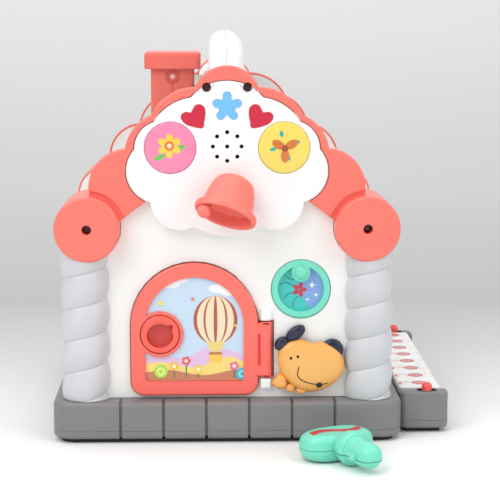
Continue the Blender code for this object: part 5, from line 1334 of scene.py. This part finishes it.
dog = dict(x=62.5, z=53.5, half=25.0, tall=19.9, near=-137.0, far=-129.2, rim=5.2, stem=6, keeper=7.4,
           back=-122.7, keeperBack=-121.7, eye=1.25, smile=0.36)
dogShares = ((-1.0, 0.19), (-0.96, 0.52), (-0.85, 0.74), (-0.65, 0.91), (-0.36, 1.0), (-0.15, 0.95),
             (0.03, 0.85), (0.20, 0.89), (0.43, 0.86), (0.67, 0.72), (0.89, 0.46), (1.0, 0.08),
             (0.95, -0.27), (0.76, -0.61), (0.42, -0.89), (0.06, -1.0), (-0.32, -0.93), (-0.65, -0.65),
             (-0.89, -0.27))
bigToe = ((-1.18, -0.65), (-1.06, -0.43), (-0.93, -0.29), (-0.76, -0.45), (-0.73, -0.78), (-0.90, -0.89),
          (-1.07, -0.83))
smallToes = ((-0.623, -0.860, 0.130, 0.130, 0), (-0.292, -0.965, 0.158, 0.108, -8))
ears = ((-0.886, 0.838, 0.236, 0.180, 45), (-0.466, 1.231, 0.336, 0.193, 36), (0.639, 0.580, 0.335, 0.335, 0))
eyes = ((47.3, 60.2), (52.4, 61.4))
nose = (68.4, 39.7)
smilePoints = ((53.2, 53.7), (52.4, 50.4), (52.3, 46.9), (54.2, 44.3), (57.6, 42.3), (61.9, 40.9),
               (65.4, 40.3), (70.9, 40.2), (74.8, 40.7))


def dogLine(steps=8):
    return leftTurning(curvePoints(dogShares, steps) * [dog["half"], dog["tall"]] + [dog["x"], dog["z"]])


def pillowLevel(share, near, high):
    # Height falls off from the middle as a rounded edge: near + high * (1 - sqrt(1 - share ^ 4)).
    return near + high * (1 - np.sqrt(np.maximum(0, 1 - share**4)))


def pillowForm(form, line, centre, near, high, far, ink=None):
    # Rings from the middle out to the outline, then straight back to the far level.
    shares = np.sin(np.linspace(0.0, tau / 4, 26))
    flat = centre + (line - centre)[None] * shares[:, None, None]
    level = pillowLevel(shares, near, high)[:, None] * np.ones(len(line))
    rows = np.stack([flat[..., 0], level, flat[..., 1]], -1)
    rows = np.concatenate([rows, placed(line, far, "Y")[None]])
    index = form.grid(rows, ink=ink)
    form.cap([(index[-1], line)], ink=ink)


def dogLevel(points):
    # How far forward the face stands at a point.
    centre, points = np.array([dog["x"], dog["z"]]), np.atleast_2d(points)
    share = np.hypot(*(points - centre).T) / reachAt(points, dogLine(), centre)
    return pillowLevel(np.clip(share, 0, 1), dog["near"], dog["rim"])


def makeDog():
    d = dog
    centre, half = np.array([d["x"], d["z"]]), d["half"]
    form = Form()
    pillowForm(form, dogLine(), centre, d["near"], d["rim"], d["far"])
    toe = leftTurning(curvePoints(bigToe, 8) * [half, d["tall"]] + centre)
    pillowForm(form, toe, toe.mean(0), d["near"] + 1.9, 3.6, d["far"] - 0.3)
    for x, z, long, wide, turn in smallToes:
        spot = centre + [x * half, z * d["tall"]]
        toe = leftTurning(ovalPoints(*spot, long * half, wide * half, turn))
        pillowForm(form, toe, spot, d["near"] + 3.0, 2.6, d["far"] - 0.3)
    start, back, end = d["far"] - 2, d["back"], d["keeperBack"]
    stem = np.array([(0, start), (d["stem"], start), (d["stem"], back), (d["keeper"], back),
                     (d["keeper"], end), (0, end)])
    turnForm(form, stem, d["x"], d["z"], count=48)
    makePiece("dogFace", form, "dogOrange", "dog_button", ["dog_face"])
    form = Form()
    t = np.linspace(0, tau / 4, 8)
    for x, z in eyes:
        level = dogLevel((x, z))[0]
        ball = np.stack([d["eye"] * np.sin(t), level + 0.3 - 0.7 * np.cos(t)], 1)
        turnForm(form, np.concatenate([ball, [(d["eye"], level + 1.5), (0, level + 1.5)]]), x, z, count=24)
    level = float(dogLevel(nose)[0])
    oval = leftTurning(ovalPoints(*nose, 2.5, 2.2, 10))
    pillowForm(form, oval, np.array(nose), level - 0.8, 1.3, level + 2.0)
    # The smile is a thin round cord laid on the face.
    path = curvePoints(smilePoints, 12, closed=False)
    way = np.gradient(path, axis=0)
    side = np.stack([-way[:, 1], way[:, 0]], 1) / np.linalg.norm(way, axis=1, keepdims=True)
    angle = tau * np.arange(10) / 10
    level, r = dogLevel(path) - 0.05, d["smile"]
    rows = [placed(path + side * r * math.cos(t), level + r * math.sin(t), "Y") for t in angle]
    index = form.grid(np.stack(rows, 1))
    for ring in (index[0], index[-1]):
        form.cap([(ring, np.stack([np.cos(angle), np.sin(angle)], 1))])
    makePiece("dogMarks", form, "dark", "dog_button", [])
    form = Form()
    back = d["far"] + 0.3
    for x, z, long, wide, turn in ears:
        spot = centre + [x * half, z * d["tall"]]
        ear = leftTurning(ovalPoints(*spot, long * half, wide * half, turn, 60))
        pillowForm(form, ear, spot, -133.5, 3.2, back + 0.5)
    plateForm(form, leftTurning(centre + (dogLine() - centre) * 0.96), back, back + 1.2)
    makePiece("dogEars", form, "navy", "dog_button", ["dog_ears"])


def dogInk(place, tone):
    # Orange deepens toward the rounded edge.
    return ((1 - place.spot(1).below(dog["near"] + 2.2, 2.2)) * 0.6).mix(tone, rgb(250, 155, 66))


finishes["dogOrange"] = moulded(rgb(255, 190, 104), paint=dogInk, roughness=0.3, coat=0.2)


# Chimney

cap = dict(half=21.8, low=272.0, top=285.3, corner=5.0, rim=3.0, lowRim=0.9, play=0.3)
lamp = dict(z=266.2, radius=5.2, thick=3.0, dome=2.0, setback=3.0, stalk=0.8, foot=14.6, footTall=1.6,
            footDeep=6)


def lampLightShadeInk(place, tone):
    # Painted light and shade: the lamp and its stalk behind the clear wall are painted on its front, a darker
    # round and stalk with a light spot in the middle.
    across, up, far = frontPlaces(place, chimney["x"], lamp["z"])
    front = place.spot(1).below(chimney["y"] - chimney["half"] + 0.5, 0.1)
    tone = (far.below(lamp["radius"] + 0.8, 0.8) * front * 0.6).mix(tone, rgb(214, 78, 68))
    stalk = abs(across).below(0.5, 0.3) * up.below(-lamp["radius"], 0.3) * front
    tone = (stalk * 0.6).mix(tone, rgb(206, 72, 64))
    return (far.below(1.9, 0.9) * front).mix(tone, rgb(255, 206, 196))


finishes["clearCoral"] = moulded(rgb(255, 128, 114), paint=lampLightShadeInk, roughness=0.18, coat=0.2, grain=0.02,
                                 sockets={"Transmission Weight": 0.12, "IOR": 1.3})
finishes["lampRed"] = moulded(rgb(255, 222, 214), roughness=0.25, coat=0.3)
finishes["capCoral"] = moulded(rgb(244, 112, 98), roughness=0.26, coat=0.25)


def makeChimney():
    c, p, k = chimney, cap, lamp

    def square(half, corner):
        return roundedPoints(c["x"] - half, c["x"] + half, c["y"] - half, c["y"] + half, corner)

    form = Form()
    outer, inner = square(c["half"], c["corner"]), square(c["half"] - c["wall"], c["corner"] / 2)
    form.grid(wallRows(outer, inner, c["low"], c["top"]))
    makePiece("chimneyTube", form, "clearCoral", "house", ["chimney_body"])
    form = Form()
    outer, socket = square(p["half"], p["corner"]), square(c["half"] + p["play"], c["corner"] + p["play"])
    quarter = [(1 - math.sin(t), 1 - math.cos(t)) for t in np.linspace(0, tau / 4, 8)]
    rows = [placed(socket, c["top"] + p["play"], "Z"), placed(socket, p["low"], "Z")]
    rows += [placed(inset(outer, p["lowRim"] * s), p["low"] + p["lowRim"] * t, "Z") for s, t in quarter]
    rows += [placed(inset(outer, p["rim"] * s), p["top"] - p["rim"] * t, "Z") for s, t in quarter[::-1]]
    top = inset(outer, p["rim"] + 0.15)
    index = form.grid(np.stack(rows + [placed(top, p["top"], "Z")]))
    form.cap([(index[0], socket)])
    form.cap([(index[-1], top)])
    makePiece("chimneyCap", form, "capCoral", "house", ["chimney_cap"])
    near = c["y"] - c["half"] + c["wall"] + k["setback"]
    far, tip = near + k["thick"], near - k["dome"]
    bulb = softened([(0, tip), (k["dome"], tip, 1.6), (k["dome"], near, 0.2), (k["radius"], near, 0.5),
                     (k["radius"], far, 0.3), (0, far)])
    form = turnForm(Form(), bulb, c["x"], k["z"], count=48)
    stalk = roundedPoints(c["x"] - k["stalk"], c["x"] + k["stalk"], c["low"], k["z"], 0.3)
    plateForm(form, stalk, near + 1, far)
    foot = roundedPoints(c["x"] - k["foot"], c["x"] + k["foot"], c["low"], c["low"] + k["footTall"], 0.3)
    plateForm(form, foot, near, near + k["footDeep"])
    makePiece("chimneyLamp", form, "lampRed", "house", ["chimney_lamp"])


# Loose key

looseKey = dict(x=77.6, y=-182.2, z=9.5, turn=-63.8, seam=6.8, halfLong=15.7, halfWide=28.3, low=-2.5,
                high=17.0, power=2.6)
keyRings = ((0.0, 0.0), (0.60, 0.0), (0.74, 0.01), (0.88, 0.10), (0.97, 0.26), (1.0, 0.45), (0.99, 0.66),
            (0.95, 0.82), (0.86, 0.94), (0.72, 0.995), (0.60, 1.0), (0.0, 1.0))
keyShaft = dict(radius=12.6, long=53.5, tab=(38, 43.5, -12.8, 0), tabCorner=1.2, tabTop=1.7)
shaftShares = ((0.0, 0.25), (0.60, 0.25), (0.84, 0.29), (0.93, 0.33), (0.98, 0.384), (1.0, 0.440),
               (0.98, 0.487), (0.90, 0.525), (0.78, 0.545), (0.73, 0.70), (0.71, 0.860), (0.61, 0.942),
               (0.36, 0.988), (0.0, 1.0))


def keyed(points):
    # From the key's own frame, the shaft along its x, to where it lies.
    k = looseKey
    a = math.radians(k["turn"])
    turn = np.array([[math.cos(a), -math.sin(a), 0], [math.sin(a), math.cos(a), 0], [0, 0, 1]])
    return points @ turn.T + [k["x"], k["y"], k["z"]]


def makeKey():
    # The head's plan is a rounded square, 1 = (|cos|^power + |sin|^power), in rings from the bottom up. Both
    # halves are cut from the same rows at the seam.
    k, h = looseKey, keyShaft
    rings = curvePoints(keyRings, 4, closed=False)
    angle = tau * np.arange(96) / 96
    c, s = np.cos(angle), np.sin(angle)
    square = (np.abs(c) ** k["power"] + np.abs(s) ** k["power"]) ** (-1 / k["power"])
    level = (k["low"] + (k["high"] - k["low"]) * rings[:, 1] - k["z"])[:, None] * np.ones(96)
    long, wide = (c * square * k["halfLong"])[None], (s * square * k["halfWide"])[None]
    head = np.stack([rings[:, :1] * long, rings[:, :1] * wide, level], -1)
    shaft = turnRows(curvePoints(shaftShares, 4, closed=False) * [h["radius"], h["long"]], 0, 0, "X", 72)
    seam = k["seam"] - k["z"]
    for name, upper in (("bottom", False), ("top", True)):
        form = Form()
        for rows in (head, shaft):
            half = rows.copy()
            pick, cut = (np.maximum, seam + 0.2) if upper else (np.minimum, seam - 0.2)
            half[..., 2] = pick(half[..., 2], cut)
            form.grid(keyed(half))
        if upper:
            line = roundedPoints(*h["tab"], h["tabCorner"])
            tab = plateForm(Form(), line, seam + 0.2, h["tabTop"], axis="Z", rim=0.4)
            form.take(keyed(tab.points()), tab.faces)
        makePiece(f"looseKey_{name}", form, "keyMint", "loose_key", [f"key_{name}"])


def keyInk(place, tone):
    # A red ribbon runs across the top of the head in a slow S.
    k = looseKey
    a = math.radians(k["turn"])
    x, y = place.spot(0) - k["x"], place.spot(1) - k["y"]
    along, across = x * math.cos(a) + y * math.sin(a), y * math.cos(a) - x * math.sin(a)
    wave = across.sum("SINE", across * 0.16) * 3.2
    band = abs(along - wave).below(3.6, 0.3) * abs(across).below(21.0, 0.3)
    return (band * (1 - place.spot(2).below(14.6, 0.3))).mix(tone, rgb(206, 40, 56))


finishes["keyMint"] = moulded(mint, paint=keyInk, roughness=0.3, coat=0.15)


# Nodes of the frame that keep their shape

kept = {
    "white": ("front_wall", "rear_wall", "side_wall_left", "side_wall_right", "dial_keeper"),
    "base": ("battery_door",),
    "shadedFoot": ("wing_cover",),
    "mint": ("sorting_panel",),
    "board": ("circuit_board",),
    "cone": ("speaker",),
    "steel": ("key_axle", "hinge_pin"),
}


def dressKept():
    for look, nodes in kept.items():
        for node in nodes:
            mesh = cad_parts[node].data
            mesh.materials.clear()
            mesh.materials.append(finish(look))


# Camera, floor and light

view = dict(focus=1600, frame=500, sensor=36, spot=(-0.0145, -1.3035, 0.3204), down=244.4 / 1600,
            right=42.65 / 1600)
# Millimetres along the sheet, and the screen's grey there: painted light and shade, the fall of the studio
# light along the sheet.
floorTones = ((-900, 255), (-330, 255), (-230, 252), (-123, 243), (-7, 233), (184, 214), (444, 191),
              (810, 202), (1380, 217), (1660, 220), (1914, 226), (2336, 237))
sheet = dict(near=-6, bend=1.2, top=6, half=8)
lamps = dict(
    key=dict(spot=(-1.3, -1.6, 1.9), size=1.6, watts=29),
    fill=dict(spot=(1.7, -1.4, 1.3), size=1.8, watts=14),
    top=dict(spot=(0.0, 0.1, 2.2), size=2.2, watts=20),
)


def makeCamera():
    camera = bpy.data.cameras.new("camera")
    camera.sensor_width = view["sensor"]
    camera.lens = view["focus"] / view["frame"] * view["sensor"]
    camera.clip_end = 50
    shown = bpy.data.objects.new("camera", camera)
    bpy.context.scene.collection.objects.link(shown)
    shown.location = view["spot"]
    down, right = math.atan(view["down"]), math.atan(view["right"])
    shown.rotation_euler = (math.pi / 2 - down, 0, -right)
    bpy.context.scene.camera = shown


def makeStage():
    # One sheet: a floor that curves up into a backdrop, along y by arc length.
    s, bend = sheet, sheet["bend"]
    arc = np.linspace(0, tau / 4, 20)[1:]
    y = np.concatenate([np.linspace(s["near"], bend, 60), bend + bend * np.sin(arc), np.full(6, 2 * bend)])
    z = np.concatenate([np.zeros(60), bend * (1 - np.cos(arc)), np.linspace(bend, s["top"], 7)[1:]])
    z = z - plinth["foot"] / 1000
    x = np.linspace(-s["half"], s["half"], 9)
    rows = np.stack(np.broadcast_arrays(x[None], y[:, None], z[:, None]), -1)
    index = np.arange(rows[..., 0].size).reshape(rows.shape[:2])
    faces = np.stack([index[:-1, :-1], index[:-1, 1:], index[1:, 1:], index[1:, :-1]], -1).reshape(-1, 4)
    mesh = bpy.data.meshes.new("floor")
    mesh.from_pydata(rows.reshape(-1, 3).tolist(), [], faces.tolist())
    mesh.shade_smooth()
    material = bpy.data.materials.new("floor")
    material.use_nodes = True
    tree = material.node_tree
    shader = tree.nodes["Principled BSDF"]
    wire = Wire(tree)
    place = wire.node("TexCoord", {}, {}, "Object")
    deep = wire.node("SeparateXYZ", {}, {0: place}, 1)
    high = wire.node("SeparateXYZ", {}, {0: place}, 2)
    reach = (deep + high + 1.0) / 4.0
    stops = [(max(0.0, (spot / 1000 + 1.0) / 4.0), rgb(tone, tone, tone)) for spot, tone in floorTones]
    tone = reach.node("ValToRGB", {"stops": stops}, {0: reach})
    # Painted light and shade: camera, glossy and transmission rays see the tones, other rays an even grey.
    rays = [wire.node("LightPath", {}, {}, f"Is {kind} Ray") for kind in ("Camera", "Glossy", "Transmission")]
    plain = rays[0].larger(rays[1]).larger(rays[2]).mix((0.8, 0.8, 0.8, 1), tone)
    tree.links.new(plain.socket, shader.inputs["Base Color"])
    shader.inputs["Roughness"].default_value = 0.9
    shader.inputs["Specular IOR Level"].default_value = 0.0
    mesh.materials.append(material)
    floor = bpy.data.objects.new("floor", mesh)
    bpy.context.scene.collection.objects.link(floor)


def makeLight():
    middle = Vector((0, 0, 0.12))
    for name, p in lamps.items():
        light = bpy.data.lights.new(name, "AREA")
        light.size = p["size"]
        light.energy = p["watts"]
        shown = bpy.data.objects.new(name, light)
        bpy.context.scene.collection.objects.link(shown)
        shown.location = p["spot"]
        shown.rotation_euler = (middle - Vector(p["spot"])).to_track_quat("-Z", "Y").to_euler()
    world = bpy.data.worlds.new("studio")
    bpy.context.scene.world = world
    world.use_nodes = True
    world.node_tree.nodes["Background"].inputs["Color"].default_value = (1, 1, 1, 1)
    world.node_tree.nodes["Background"].inputs["Strength"].default_value = 0.55


bpy.context.scene.view_settings.view_transform = "Standard"
makeCamera()
makeStage()
makeLight()
print("stage: camera, floor and light")
makePlinth()
makeWing()
makePianoKeys()
makePosts()
print("stage: plinth, keyboard and posts")
makeFrontGable()
makeRearGable()
makeRoof()
makeHandle()
makeChimney()
print("stage: roof, handle and chimney")
makeCloud()
makeScrews()
makeBell()
print("stage: cloud panel and bell")
makeDoor()
makeDoorPicture()
makeLock()
makeDial()
makeDog()
makeKey()
dressKept()
print("stage: door, dial, dog button and key")
